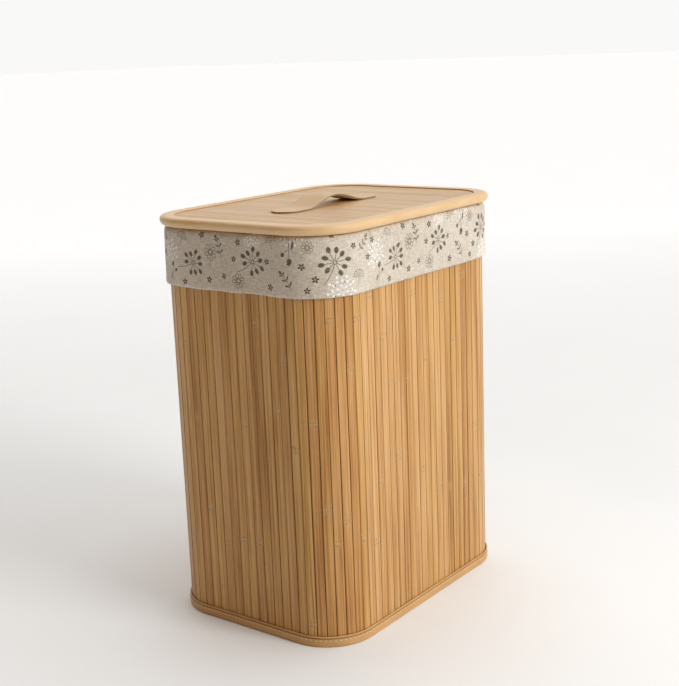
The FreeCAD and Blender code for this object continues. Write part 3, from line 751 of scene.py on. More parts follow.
def build_slat_row(wall, start, end, count, seed, finish, settings):
    """One row of slats, from start to end round the outline.

    Each stands square on the outline at its own middle, and bows sideways along its height by a half wave and
    a smaller whole wave.
    """
    pitch = (end - start) / count
    middles = start + pitch * (np.arange(count) + 0.5)
    round_corner = wall.endswith("corner")
    inset = CORNER_INSET if round_corner else 0
    gap = settings.corner_gap if round_corner else settings.slat_gap
    across, depth, rim = slat_section(pitch - gap, seed, count)
    draw = np.random.default_rng(seed + 50)
    share = np.linspace(0, 1, SLAT_ROWS)
    bow = draw.normal(0, 1.0, (count, 1)) * np.sin(math.pi * share)
    bow += draw.normal(0, 0.5, (count, 1)) * np.sin(TURN * share + draw.uniform(0, TURN, (count, 1)))
    centre, facing = outline_at(middles)
    along = np.stack([-facing[:, 1], facing[:, 0]], axis=-1)
    shift = across[:, :, None] + bow[:, None, :] * settings.slat_bow
    out = CORNER - inset + depth
    flat = centre[:, None, None] + facing[:, None, None] * out[:, :, None, None]
    flat = flat + along[:, None, None] * shift[..., None]
    height = np.broadcast_to(WALL_FOOT + (WALL_TOP - WALL_FOOT) * share, shift.shape)
    points = np.concatenate([flat, height[..., None]], axis=-1)
    closed = np.concatenate([across, across[:, :1]], axis=1)
    uv = np.stack(np.broadcast_arrays(closed[:, :, None], height[:, :1, :]), axis=-1)
    name = wall + "_bamboo"
    number = draw.random(count)[:, None, None]
    make_piece(name, points, finish, TUB, "bamboo_slats", uv=uv, caps=True, sharp=SLAT_SHARP,
               stands_for=[wall + "_slats"], values={"slat": number, "rim": rim[None, :, None]})


PANEL_INSET = 5.2 * MM
LID_SLAT_GAP = 0.06 * MM


def build_lid_slats(settings):
    """The lid's slats, which lie side by side along it and end on the rounded outline of the panel.

    Near the ends of the lid the outline is an arc, so a slat's reach there is the straight half depth plus
    sqrt(radius^2 - past^2), where past is how far its point lies beyond the start of the arc.
    """
    low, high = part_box("lid_slats")
    pitch = (high.x - low.x) / LID_SLATS
    across, depth, rim = slat_section(pitch - LID_SLAT_GAP, 91, LID_SLATS, relief=0.4)
    draw = np.random.default_rng(92)
    middles = pitch * (np.arange(LID_SLATS) - (LID_SLATS - 1) / 2)
    x = middles[:, None] + across
    radius = CORNER - PANEL_INSET
    past = np.clip(np.abs(x) - STRAIGHT_X, 0, radius)
    reach = STRAIGHT_Y + np.sqrt(radius**2 - past**2)
    share = np.linspace(-1, 1, 17)
    y = reach[:, :, None] * share
    bow = draw.normal(0, 0.07, (LID_SLATS, 1, 1)) * np.cos(math.pi / 2 * share) * MM
    z = np.broadcast_to(high.z + depth[:, :, None], y.shape)
    points = np.stack([x[:, :, None] + bow, y, z], axis=-1)
    closed = np.concatenate([across, across[:, :1]], axis=1)
    uv = np.stack(np.broadcast_arrays(closed[:, :, None], y[:, :1, :]), axis=-1)
    tones = settings.lid_light, settings.lid_colour, settings.lid_dark
    # The lid slats' edges get only a light painted shade.
    finish = bamboo_finish("lid_bamboo", *tones, 0.42, between=0.30, edges=0.16, joint_gap=0.55)
    number = draw.random((LID_SLATS, 1, 1))
    make_piece("lid_bamboo_slats", points, finish, LID, "lid_bamboo", uv=uv, caps=True, sharp=SLAT_SHARP,
               stands_for=["lid_slats"], values={"slat": number, "rim": rim[None, :, None]})


def build_lid_rim(settings):
    """The lid's rim: a smooth binding with an oval outer edge, grooved inside to hold the panel."""
    low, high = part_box("lid_rim_binding")
    panel_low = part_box("lid_lining_cloth")[0].z / MM
    panel_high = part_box("lid_slats")[1].z / MM
    bottom, top = low.z / MM, high.z / MM
    profile = np.concatenate([
        [(-5.0, panel_high + 0.1), (-10.4, panel_high + 0.1)],
        arc_points((-10.2, top - 0.9), 0.8, 180, 90, 5),
        [(-6.0, top - 0.05), (-1.0, top)],
        oval_points((3.4, top - 5.0), (5.6, 5.0), 84, 0, 15),
        oval_points((1.2, bottom + 7.8), (7.8, 7.8), -4, -88, 15),
        [(-2.0, bottom), (-7.0, bottom)],
        arc_points((-10.2, bottom + 0.8), 0.8, -90, -180, 5),
        [(-11.0, panel_low - 0.1), (-5.0, panel_low - 0.1)],
    ]) * MM
    finish = tape_finish("rim_binding", settings.rim_colour, settings.rim_worn, 0.34)

    def swell(around, section):
        """The wrapped rod is never quite even: the rim is a few tenths of a millimetre fuller in places."""
        outer = np.clip(section[:, 0] / (9 * MM), 0, 1) ** 2
        return (wave(around, 5, 3, 30, 0.5) - 0.6) * settings.rim_swell * outer

    ring_piece("lid_rim", profile, 4 * MM, finish, LID, "rim_binding", swell, stands_for=["lid_rim_binding"])


GROOVE_HEIGHT = 12.1 * MM
STITCH_HEIGHT = 9.4 * MM
STITCH_OUT = 2.70 * MM
STITCH_SLANT = 1.0 * MM
THREAD_RADIUS = 0.45 * MM


def build_base(settings):
    """The binding round the foot: a piping lip, a groove, a rounded band, and a flange turned in below."""
    profile = np.concatenate([
        [(0.35, 2.5), (0.35, 13.9)],
        arc_points((1.35, 13.7), 1.25, 165, -75, 13),
        [(0.95, 12.1)],
        arc_points((1.5, 11.0), 1.05, 95, 15, 6),
        [(2.60, 9.5), (2.62, 6.0), (2.5, 3.6)],
        arc_points((0.0, 2.5), 2.5, 15, -85, 8),
        [(-8.0, 0.0), (-19.4, 0.0), (-20.0, 0.6), (-20.0, 1.8), (-19.4, 2.3), (-8.6, 2.3)],
        [(-8.6, 14.4), (-8.1, 15.0), (-7.6, 14.4), (-7.6, 2.5)],
    ]) * MM
    # Where the binding's groove lies, from 0 to 1: the place of the painted shade in the groove.
    groove = np.clip(1 - np.abs(profile[:, 1] - GROOVE_HEIGHT) / (0.9 * MM), 0, 1)
    groove = groove * (profile[:, 0] > 0.5 * MM)
    finish = tape_finish("edge_binding", settings.binding_colour, settings.binding_worn, 0.42)

    def swell(around, section):
        """The band swells a little between stitches."""
        outer = np.clip(section[:, 0] / (2.6 * MM), 0, 1) ** 2
        return wave(around, 8, 5, 60, 0.3) * 0.10 * MM * outer

    ring_piece("base_binding", profile, 4 * MM, finish, TUB, "edge_binding", swell,
               stands_for=["base_edge_binding"], values={"groove": groove[None, None, :]})
    build_stitches(settings)


def build_stitches(settings):
    """The base binding's stitches: short slanted lengths of thread that dip into the band at both ends.

    Round a stitch's middle line the thread is a circle of six points. Its radius is that of the thread times
    sqrt(1 - |share|^3), where share runs from -1 to 1 along the stitch.
    """
    count = round(PERIMETER / settings.stitch_pitch)
    draw = np.random.default_rng(21)
    middle = (np.arange(count) + draw.uniform(-0.06, 0.06, count)) * PERIMETER / count
    share = np.linspace(-1, 1, 7)
    turn = np.arange(6) / 6 * TURN
    thick = THREAD_RADIUS * np.sqrt(np.clip(1 - np.abs(share) ** 3, 0.0, 1))
    run = middle[:, None, None] + share * settings.stitch_length / 2 + np.cos(turn)[:, None] * thick * 0.5
    rise = STITCH_HEIGHT - share * STITCH_SLANT + np.cos(turn)[:, None] * thick
    out = STITCH_OUT + np.sin(turn)[:, None] * thick - 0.35 * MM * share**2
    shape = run.shape
    rise, out = np.broadcast_to(rise, shape), np.broadcast_to(out, shape)
    points = ring_points(run, out, rise)
    uv = np.stack([run, np.broadcast_to(rise, shape)], axis=-1)
    uv = np.concatenate([uv, uv[:, :1]], axis=1)
    thread = tape_finish("binding_thread", settings.thread_colour, settings.thread_worn, 0.7, 4000)
    make_piece("base_stitches", points, thread, TUB, "edge_binding", uv=uv)


def build_top_edge(settings):
    """The tape folded over the top of the wall, under the cuff."""
    profile = np.concatenate([
        [(0.4, 531.2), (0.8, 531.0), (1.15, 531.4), (1.2, 540.0)],
        arc_points((-0.4, 545.4), 1.6, 0, 90, 6),
        [(-4.0, 547.0)],
        arc_points((-7.0, 545.4), 1.6, 90, 180, 6),
        [(-8.6, 540.0), (-8.55, 531.4), (-8.2, 531.0), (-7.7, 531.2)],
        [(-7.6, 544.6), (-7.2, 545.8), (-0.2, 545.9), (0.3, 545.0)],
    ]) * MM
    finish = tape_finish("top_binding", settings.binding_colour, settings.binding_worn, 0.55)
    ring_piece("top_binding", profile, 6 * MM, finish, TUB, "edge_binding", stands_for=["top_edge_binding"])


# The cuff's path, as millimetres out from the slats and millimetres up.
CUFF_HEM = 471.0
CUFF_FOLD = 547.4
FOLD_MIDDLE = (-3.45, 541.6)
FOLD_RADIUS = 6.2
CUFF_CLOTH = 1.1
HEM_DEPTH = 8.0
# How far apart its points are, along the path and round the outline.
CUFF_ROW = 2.5
CUFF_STEP = 2.6 * MM
# How far the cuff stands off its path on average. It comes back past the path by about as much at most.
CUFF_SLACK = 0.35


def resample(path, step):
    """Evenly spaced points along a path of straight lines."""
    run = distances_along(path)
    fine = np.linspace(0, run[-1], round(run[-1] / step) + 1)
    return np.stack([np.interp(fine, run, path[:, 0]), np.interp(fine, run, path[:, 1])], axis=-1)


def cloth_section(path, thick, hem):
    """The closed section of a cloth that follows a path of (offset, height), doubled in thickness at its hem.

    Each point moves half the thickness along the path's normal, to either side. Past the hem the half
    thickness falls from 1.55 times its usual value to 1, by a tanh, and the ends are rounded. The distances
    along the path come back too.
    """
    tangent = np.gradient(path, axis=0)
    tangent /= np.hypot(*tangent.T)[:, None]
    normal = np.stack([-tangent[:, 1], tangent[:, 0]], axis=-1)
    run = distances_along(path)
    full = thick / 2 * (1.275 - 0.275 * np.tanh((run - hem) / (hem / 7)))
    ends = np.minimum(run, run[-1] - run)
    full = full * np.sqrt(np.clip(ends / (full * 1.2), 0.12, 1))
    return np.concatenate([path + normal * full[:, None], (path - normal * full[:, None])[::-1]]), run


def build_cuff(settings):
    """The liner's printed cuff: one cloth that comes up inside, folds over the wall's top and hangs outside.

    The hanging part stands off the wall by a gentle wave that grows towards the hem, with slanted creases.
    """
    outer = np.array([(3.0, CUFF_HEM), (2.9, 490.0), (2.7, 520.0), (2.75, 536.0)])
    over = arc_points(FOLD_MIDDLE, FOLD_RADIUS, -5, 185, 15)
    inner = np.array([(-9.7, 536.0), (-9.7, 520.0)])
    path = resample(np.concatenate([outer, over, inner]), CUFF_ROW)
    section, run = cloth_section(path, CUFF_CLOTH, HEM_DEPTH)
    around = stations(CUFF_STEP)[:, None]
    middle = np.concatenate([path, path[::-1]])
    # How far down each point is, and how far over to the outside across the fold, both from 0 to 1.
    drop = np.clip((CUFF_FOLD - middle[:, 1]) / (CUFF_FOLD - CUFF_HEM), 0, 1)
    outside = np.clip((middle[:, 0] + 3.4) / 6.0, 0, 1)
    above = (middle[None, :, 1] - CUFF_HEM) * MM
    # Long slow waves at the hem, and shallow creases that lean one way or the other.
    slow = wave(around, 31, 4, 26, 0.6)
    lean_left = wave(around + above * 0.45, 32, 9, 60, 0.4)
    lean_right = wave(around - above * 0.30, 33, 11, 70, 0.4)
    where = wave(around + above * 0.1, 34, 3, 14, 0.2)
    push = slow * settings.cuff_wave / MM * drop**1.2
    push = push + (lean_left * (0.5 + where) + lean_right * (0.5 - where)) * settings.cuff_crease / MM
    push = (push + CUFF_SLACK) * outside
    push = np.where(push < -CUFF_SLACK, -CUFF_SLACK + (push + CUFF_SLACK) * 0.15, push)
    # Inside the wall the cloth only creases inwards, and its hem also waves up and down.
    inside = (1 - outside) * np.clip((540 - middle[:, 1]) / 12, 0, 1)
    push = push - np.abs(lean_left) * inside * 0.5
    sway = wave(around, 35, 3, 22, 0.7) * 0.45 * drop**3 * outside
    offset = (section[:, 0] + push) * MM
    height = (section[:, 1] + sway) * MM
    points = ring_points(around + 0 * offset, offset, height)[None]
    uv = ring_uv(around, np.concatenate([run, run[::-1], [run[0]]]) * MM)
    inks = settings.print_dark, settings.print_white
    finish = linen_finish(settings.linen_colour, settings.linen_shadow, *inks)
    cuff = make_piece("liner_cuff_cloth", points, finish, LINER, "printed_linen", wrap=(True, True), uv=uv,
                      sharp=SMOOTH, stands_for=["liner_cuff"])


BAG_OUT = -9.7 * MM
BAG_FOOT, BAG_SEAM = 9.0 * MM, 520.0 * MM
# How far apart the bag's points are round the outline, and how many there are from its seam to its foot.
BAG_STEP, BAG_ROWS = 6.5 * MM, 80
BAG_FRAMES = 40
BAG_HALF_CLOTH = 0.45 * MM
BAG_WEAVE = 0.7 * MM
BAG_FLOOR_LEVEL = 8.45
BAG_FLOOR_CLOTH = 0.8 * MM


def hang_cloth(grid, slack):
    """Lets a tube of cloth hang by its own weight, held at its top and bottom rows, and returns its points.

    grid holds points as (round, down, xyz). slack is how much larger than the grid the cloth is cut.
    """
    rounds, rows = grid.shape[:2]
    one, row = np.meshgrid(np.arange(rounds), np.arange(rows - 1), indexing="ij")
    after = (one + 1) % rounds
    here, there = one * rows + row, after * rows + row
    faces = np.stack([here, here + 1, there + 1, there], axis=-1)
    mesh = bpy.data.meshes.new("hanging_cloth")
    mesh.from_pydata(grid.reshape(-1, 3).tolist(), [], faces.reshape(-1, 4).tolist())
    cloth = bpy.data.objects.new("hanging_cloth", mesh)
    bpy.context.scene.collection.objects.link(cloth)
    held = cloth.vertex_groups.new(name="held")
    ends = np.concatenate([np.arange(rounds) * rows, np.arange(rounds) * rows + rows - 1])
    held.add(ends.tolist(), 1.0, "REPLACE")
    modifier = cloth.modifiers.new("cloth", "CLOTH")
    fabric = modifier.settings
    fabric.quality = 6
    fabric.mass = 0.2
    fabric.tension_stiffness = 10
    fabric.compression_stiffness = 10
    fabric.shear_stiffness = 4
    fabric.bending_stiffness = 0.15
    fabric.air_damping = 3
    fabric.shrink_min = -slack
    fabric.vertex_group_mass = "held"
    modifier.collision_settings.use_collision = False
    modifier.point_cache.frame_end = BAG_FRAMES
    scene = bpy.context.scene
    for moment in range(1, BAG_FRAMES + 1):
        scene.frame_set(moment)
    hung = cloth.evaluated_get(bpy.context.evaluated_depsgraph_get())
    points = np.empty(len(hung.data.vertices) * 3)
    hung.data.vertices.foreach_get("co", points)
    bpy.data.objects.remove(cloth)
    bpy.data.meshes.remove(mesh)
    scene.frame_set(1)
    return points.reshape(rounds, rows, 3)


def build_bag(settings):
    """The plain bag under the cuff: a soft tube that hangs against the wall with slack folds, and its floor.

    The tube starts with shallow slanted folds. It then hangs as cloth, cut a little larger than the wall, and
    is held back to the wall wherever it would pass through it.
    """
    finish = fold_cloth_finish("liner_cloth", settings.bag_colour, settings.bag_shadow, BAG_WEAVE)
    low, high = BAG_FOOT, BAG_SEAM
    around = stations(BAG_STEP)
    drop = np.linspace(0, 1, BAG_ROWS)
    lap, down = np.meshgrid(around, drop, indexing="ij")
    height = high + (low - high) * down
    held = np.clip(down * 14, 0, 1) * np.clip((1 - down) * 12, 0, 1)
    folds = wave(lap + height * 0.05, 41, 5, 30, 0.8) * (0.5 + down)
    slant = wave(lap + height * 0.6, 42, 4, 26, 0.5) * wave(lap - height * 0.25, 43, 3, 9, 0.3)
    push = -(np.abs(folds) + np.abs(slant) * 0.87) * held * settings.bag_fold
    grid = ring_points(lap, BAG_OUT + push, height)
    grid = hang_cloth(grid, settings.bag_slack)
    centre, facing = outline_at(lap)
    out = ((grid[..., :2] - centre) * facing).sum(axis=-1) - CORNER
    grid[..., :2] += facing * np.minimum(BAG_OUT - out, 0)[..., None]
    grid[..., 2] = np.maximum(grid[..., 2], low)
    way_round = np.roll(grid, -1, axis=0) - np.roll(grid, 1, axis=0)
    normal = np.cross(way_round, np.gradient(grid, axis=1))
    normal /= np.linalg.norm(normal, axis=-1, keepdims=True)
    half = BAG_HALF_CLOTH * np.sqrt(np.clip(np.minimum(drop, 1 - drop) * 60, 0.1, 1))[:, None]
    points = np.concatenate([grid + normal * half, (grid - normal * half)[:, ::-1]], axis=1)[None]
    run = drop * (high - low)
    uv = ring_uv(around, np.concatenate([run, run[::-1], [run[0]]]))
    side = make_piece("liner_bag_cloth", points, finish, LINER, "liner_cloth", wrap=(True, True), uv=uv,
                      sharp=SMOOTH, stands_for=["liner_bag_side"])
    build_bag_floor(settings, around, finish)


def build_bag_floor(settings, around, finish):
    """The bag's floor, laid out as rings that shrink from the outline to the middle, with low rucks.

    A ruck's height follows the size of the product of two sines that bend each other across the floor.
    """
    share = np.concatenate([np.linspace(1, 0.94, 4), np.linspace(0.9, 0, 40)])
    edge = ring_points(around, np.full(len(around), BAG_OUT), 0.0)[:, :2]
    flat = edge[:, None, :] * share[None, :, None]
    x, y = flat[..., 0] / MM, flat[..., 1] / MM
    ruck = np.abs(np.sin(x / 31 + 1.3 * np.sin(y / 47)) * np.sin(y / 39 + np.sin(x / 53 + 1)))
    ruck = ruck * np.clip((1 - share) * 9, 0, 1) * settings.floor_ruck / MM
    top = (BAG_FLOOR_LEVEL + ruck) * MM
    bottom = top - BAG_FLOOR_CLOTH
    both = np.concatenate([
        np.concatenate([flat, top[..., None]], axis=-1),
        np.concatenate([flat, bottom[..., None]], axis=-1)[:, ::-1],
    ], axis=1)[None]
    both_uv = np.concatenate([both[..., :2], both[:, :1, :, :2]], axis=1)
    both_uv = np.concatenate([both_uv, both_uv[:, :, :1]], axis=2)
    floor = make_piece("liner_floor_cloth", both, finish, LINER, "liner_cloth", wrap=(True, True), uv=both_uv,
                       sharp=SMOOTH, stands_for=["liner_bag_floor"])
    size = (2 * (HALF_X + BAG_OUT), 2 * (HALF_Y + BAG_OUT))
    cut = size[0] * size[1] - (4 - math.pi) * (CORNER + BAG_OUT) ** 2


# Where the strap's hump is highest, how far it reaches either side of the middle, and its bow across.
STRAP_PEAK = -5 * MM
STRAP_FREE = 68 * MM
STRAP_BOW = 0.7 * MM


def build_strap(settings):
    """The lid's strap: two thin layers with round ends that rise in a smooth hump for the fingers.

    Seen from above each layer is a bar with half-round ends. Its height follows one wave of a raised cosine
    over the free part, pulled a little to one side. The layers bow slightly across their width.
    """
    low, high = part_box("strap_lower_layer")
    upper_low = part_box("strap_upper_layer")[0]
    thick = upper_low.z - low.z
    rise = high.z - low.z - thick
    middle = (low.x + high.x) / 2
    half_wide, half_long = high.y, (high.x - low.x) / 2
    straight = half_long - half_wide
    turn = np.linspace(0, math.pi / 2, 15)
    ends = straight + half_wide * np.sin(turn)
    x = np.concatenate([-ends[::-1], np.linspace(-straight, straight, 91)[1:-1], ends])
    past = np.clip((np.abs(x) - straight) / half_wide, 0, 1)
    half = half_wide * np.sqrt(1 - past**2)
    reach = np.where(x < STRAP_PEAK, STRAP_FREE + STRAP_PEAK, STRAP_FREE - STRAP_PEAK)
    hump = rise * (0.5 + 0.5 * np.cos(math.pi * np.clip((x - STRAP_PEAK) / reach, -1, 1)))
    slope = np.gradient(hump, x)
    shares = np.array([-1, -0.985, -0.94, -0.8, -0.4, 0, 0.4, 0.8, 0.94, 0.985, 1])
    cross = np.concatenate([shares, shares[-2:0:-1]])
    rounded = np.array([0.28, 0.43, 0.5, 0.5, 0.5, 0.5, 0.5, 0.43, 0.28])
    level = np.concatenate([[0.0], rounded, [0.0], -rounded[::-1]])
    tip = np.sqrt(1 - np.clip((np.abs(x) - half_long + thick) / thick, 0, 1) ** 2)
    layers = [
        ("strap_upper", "strap_upper_layer", upper_low.z, settings.strap_colour, settings.strap_worn, 1.0),
        ("strap_lower", "strap_lower_layer", low.z, settings.strap_lining, settings.strap_lining, 0.985),
    ]
    for name, node, floor, colour, worn, narrow in layers:
        finish = strap_finish(name + "_leather", colour, worn)
        y = cross[:, None] * half * narrow
        bow = STRAP_BOW * cross[:, None] ** 2 * (hump / rise)
        lift = floor + thick / 2 + hump - bow + level[:, None] * thick * tip
        lean = -slope * level[:, None] * thick
        points = np.stack([middle + np.broadcast_to(x * narrow + lean, y.shape), y, lift], axis=-1)[None]
        uv = np.stack([np.broadcast_to(x, y.shape), y], axis=-1)[None]
        uv = np.concatenate([uv, uv[:, :1]], axis=1)
        make_piece(name, points, finish, LID, "strap_leather", uv=uv, stands_for=[node],
                   values={"rim": np.abs(cross)[None, :, None]})


def strap_finish(name, colour, worn):
    """Smooth leather: fine pebbles, soft clouds, and darker towards the edges."""
    made = Finish(name, Specular_IOR_Level=0.45)
    across, along = made.uv()
    place = made.vector(across * 1100.0, along * 1100.0)
    pebbles = made.node("ShaderNodeTexVoronoi", {"Vector": place, "Scale": 1.0})
    grain = Signal(made.tree, pebbles.outputs["Distance"])
    cloud = made.noise(across * 30.0, along * 30.0, detail=3.0)
    tinted = made.mix(made.spread(cloud), colour, worn)
    # The colour darkens towards the strap's side edges.
    tinted = made.shade(tinted, made.spread(made.value("rim"), 0.965, 0.99, 1.0, 0.55))
    tinted = made.shade(tinted, made.spread(grain, 0.0, 0.7, 0.96, 1.03))
    return made.done(tinted, made.spread(cloud, 0.3, 0.7, 0.42, 0.56), made.bump(grain, 0.00010, 0.5))


# ---------------------------------------------------------------- finishes of the carried-over parts


def board_finish(name, colour, dark):
    """Pressed fibreboard: short tangled fibres."""
    made = Finish(name)
    x, y, z = made.place()
    fibre = made.noise(x * 260.0, y * 90.0, z * 260.0, detail=4.0, distortion=1.5)
    fleck = made.cloud((x, y, z), 900.0, detail=1.0)
    mixed = made.spread(fibre) * 0.7 + made.spread(fleck) * 0.3
    rough = made.spread(fibre, 0.3, 0.7, 0.7, 0.85)
    return made.done(made.mix(mixed, dark, colour), rough, made.bump(fibre, 0.0002))


def metal_finish(name, colour, tarnish):
    """Drawn steel: fine scratches and dull patches."""
    made = Finish(name, Metallic=1.0)
    x, y, z = made.place()
    patch = made.cloud((x, y, z), 80.0)
    scratch = made.noise(x * 700.0, y * 700.0, z * 4000.0, detail=2.0)
    tinted = made.mix(made.spread(patch, 0.45, 0.7), colour, tarnish)
    return made.done(tinted, made.spread(patch, 0.3, 0.7, 0.25, 0.45), made.bump(scratch, 0.00003, 0.5))


def rod_finish(name, colour, dark):
    """Peeled cane: long fibres round the ring."""
    made = Finish(name)
    x, y, z = made.place()
    fibre = made.noise(x * 30.0, y * 30.0, z * 1400.0, detail=3.0)
    spot = made.cloud((x, y, z), 200.0, detail=2.0)
    mixed = made.spread(fibre) * 0.7 + made.spread(spot) * 0.3
    rough = made.spread(spot, 0.3, 0.7, 0.45, 0.65)
    return made.done(made.mix(mixed, dark, colour), rough, made.bump(fibre, 0.0002))


def build_hidden_parts(settings):
    """Finishes for the boards, cloths, wires and fixings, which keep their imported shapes."""
    backing = cloth_finish("backing_cloth", settings.backing_colour, linear("6E5A40"), 0.9 * MM)
    tape = cloth_finish("seam_tape", linear("B9A98A"), linear("8C7C60"), 0.6 * MM)
    felt = cloth_finish("felt", linear("CBBFA8"), linear("A3967E"), 0.4 * MM, sheen=0.5, rough=1.0)
    lining = cloth_finish("lid_lining", linear("D8CCB4"), linear("AFA288"), 0.8 * MM)
    hooks = cloth_finish("hook_and_loop", linear("C9BEA6"), linear("877C66"), 0.5 * MM, sheen=0.6, rough=1.0)
    rivet = metal_finish("rivet_metal", linear("C2B79A"), linear("8A7B5C"))
    finishes = [
        (backing, "wall_backing_cloth"),
        (tape, "wall_seam_tape"),
        (felt, "base_board_cover"),
        (lining, "lid_lining_cloth"),
        (hooks, "hook_strips", "loop_strips"),
        (board_finish("fibreboard", linear("A98A62"), linear("7A5E3E")), "base_board", "lid_core_board"),
        (metal_finish("hoop_wire", linear("B5B5B5"), linear("7C766C")), "base_hoop_wire", "top_hoop_wire"),
        (rivet, "strap_rivets", "strap_rivet_washers"),
        (rod_finish("cane_rod", linear("D8B87E"), linear("9C7A48")), "lid_rim_rod"),
    ]
    for finish, *worn_by in finishes:
        for node in worn_by:
            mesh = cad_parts[node].data
            mesh.materials.clear()
            mesh.materials.append(finish)


# ---------------------------------------------------------------- stage

# The camera looks at its aim from a turn round the hamper, a climb above the floor and a roll, in degrees,
# and from a distance, with a shift sideways and upwards, in metres.
CAMERA_AIM = Vector((0, 0, 0.300))
CAMERA_TURN, CAMERA_CLIMB, CAMERA_ROLL = -52.64, 13.22, -2.21
CAMERA_DISTANCE, CAMERA_SIDE, CAMERA_UP = 1.8189, 0.0048, 0.0572
CAMERA_LENS = 65.8
KEY_PLACE = Vector((0.12, -2.5, 1.6))
KEY_SIZE = 1.1
SUN_SPREAD = 50
FLOOR_HALF = 60.0


def build_floor():
    """A wide pale floor, with faint clouds. Towards the back it glows with painted light, which brightens it
    to meet the surround softly.
    """
    made = Finish("studio_floor", Emission_Color=(1.0, 1.0, 1.0, 1.0))
    x, y, _ = made.place()
    # Painted light: the floor glows more the further it lies behind the hamper.
    behind = x * 0.79 + y * 0.61
    feed(made.tree, made.spread(behind, 0.3, 3.4, 0.0, 0.28), made.shader.inputs["Emission Strength"])
    cloud = made.noise(x * 3.0, y * 3.0, detail=3.0)
    made.done(made.mix(cloud, linear("EFF2F4"), linear("F5F8FA")), 0.8, made.bump(cloud, 0.0002))
    mesh = bpy.data.meshes.new("studio_floor")
    corners = [(x * FLOOR_HALF, y * FLOOR_HALF, 0) for x, y in ((-1, -1), (1, -1), (1, 1), (-1, 1))]
    mesh.from_pydata(corners, [], [(0, 1, 2, 3)])
    mesh.materials.append(made.material)
    set_on_stage("studio_floor", mesh)


def set_on_stage(name, data, place=(0, 0, 0)):
    """Puts a mesh or a light in the scene as part of the stage."""
    thing = bpy.data.objects.new(name, data)
    thing.location = place
    bpy.context.scene.collection.objects.link(thing)
    return thing


def build_surround(settings):
    """The world: near white to the right of the hamper, and dimmer and browner to its left."""
    world = bpy.data.worlds.new("studio_surround")
    world.use_nodes = True
    nodes, links = world.node_tree.nodes, world.node_tree.links
    way = nodes.new("ShaderNodeSeparateXYZ")
    links.new(nodes.new("ShaderNodeTexCoord").outputs["Generated"], way.inputs[0])
    sides = nodes.new("ShaderNodeMapRange")
    sides.interpolation_type = "SMOOTHSTEP"
    for place, value in enumerate((-0.50, 0.42, 0.0, 1.0), start=1):
        sides.inputs[place].default_value = value
    links.new(way.outputs["X"], sides.inputs[0])
    tint = nodes.new("ShaderNodeMix")
    tint.data_type = "RGBA"
    tint.inputs[6].default_value = (*settings.dim_side, 1)
    tint.inputs[7].default_value = (1.0, 0.995, 0.985, 1)
    links.new(sides.outputs[0], tint.inputs[0])
    links.new(tint.outputs[2], nodes["Background"].inputs["Color"])
    nodes["Background"].inputs["Strength"].default_value = settings.surround_strength
    bpy.context.scene.world = world


def build_lights(settings):
    """A large soft key light in front of the long face, and a wide sun overhead."""
    key = bpy.data.lights.new("key_light", "AREA")
    key.shape = "DISK"
    key.size = KEY_SIZE
    key.energy = settings.key_power
    key.color = (1.0, 0.985, 0.96)
    lamp = set_on_stage("key_light", key, KEY_PLACE)
    lamp.rotation_euler = (CAMERA_AIM - KEY_PLACE).to_track_quat("-Z", "Y").to_euler()
    overhead = bpy.data.lights.new("overhead_light", "SUN")
    overhead.angle = math.radians(SUN_SPREAD)
    overhead.energy = settings.overhead_strength
    overhead.color = (1.0, 0.99, 0.97)
    set_on_stage("overhead_light", overhead, (0, 0, 3))


def build_camera():
    """The camera, from its turn, climb, roll, distance and shift."""
    turn, climb, roll = (math.radians(angle) for angle in (CAMERA_TURN, CAMERA_CLIMB, CAMERA_ROLL))
    back = Vector((math.sin(turn) * math.cos(climb), -math.cos(turn) * math.cos(climb), math.sin(climb)))
    right = Vector((math.cos(turn), math.sin(turn), 0))
    up = back.cross(right)
    side = math.cos(roll) * right + math.sin(roll) * up
    head = math.cos(roll) * up - math.sin(roll) * right
    spot = CAMERA_AIM + back * CAMERA_DISTANCE + side * CAMERA_SIDE + head * CAMERA_UP
    lens = bpy.data.cameras.new("camera")
    lens.lens = CAMERA_LENS
    lens.sensor_width = 36
    camera = bpy.data.objects.new("camera", lens)
    camera.matrix_world = Matrix.Translation(spot) @ Matrix((side, head, back)).transposed().to_4x4()
    bpy.context.scene.collection.objects.link(camera)
    bpy.context.scene.camera = camera


def build_stage(settings):
    """The floor, the surround, the lights and the camera."""
    build_floor()
    build_surround(settings)
    bpy.context.scene.view_settings.view_transform = "Standard"
    build_lights(settings)
    build_camera()


# ---------------------------------------------------------------- add-on


def colour_setting(name, description, code):
    """A colour a user can change."""
    look = {"size": 3, "min": 0.0, "max": 1.0, "subtype": "COLOR"}
    return FloatVectorProperty(name=name, description=description, default=linear(code), **look)


def size_setting(name, description, size):
    """A length a user can change, given in millimetres."""
    look = {"min": 0.0, "precision": 5, "unit": "LENGTH"}
    return FloatProperty(name=name, description=description, default=size * MM, **look)


def strength_setting(name, description, strength, **look):
    """A strength or a share a user can change."""
    return FloatProperty(name=name, description=description, default=strength, min=0.0, **look)


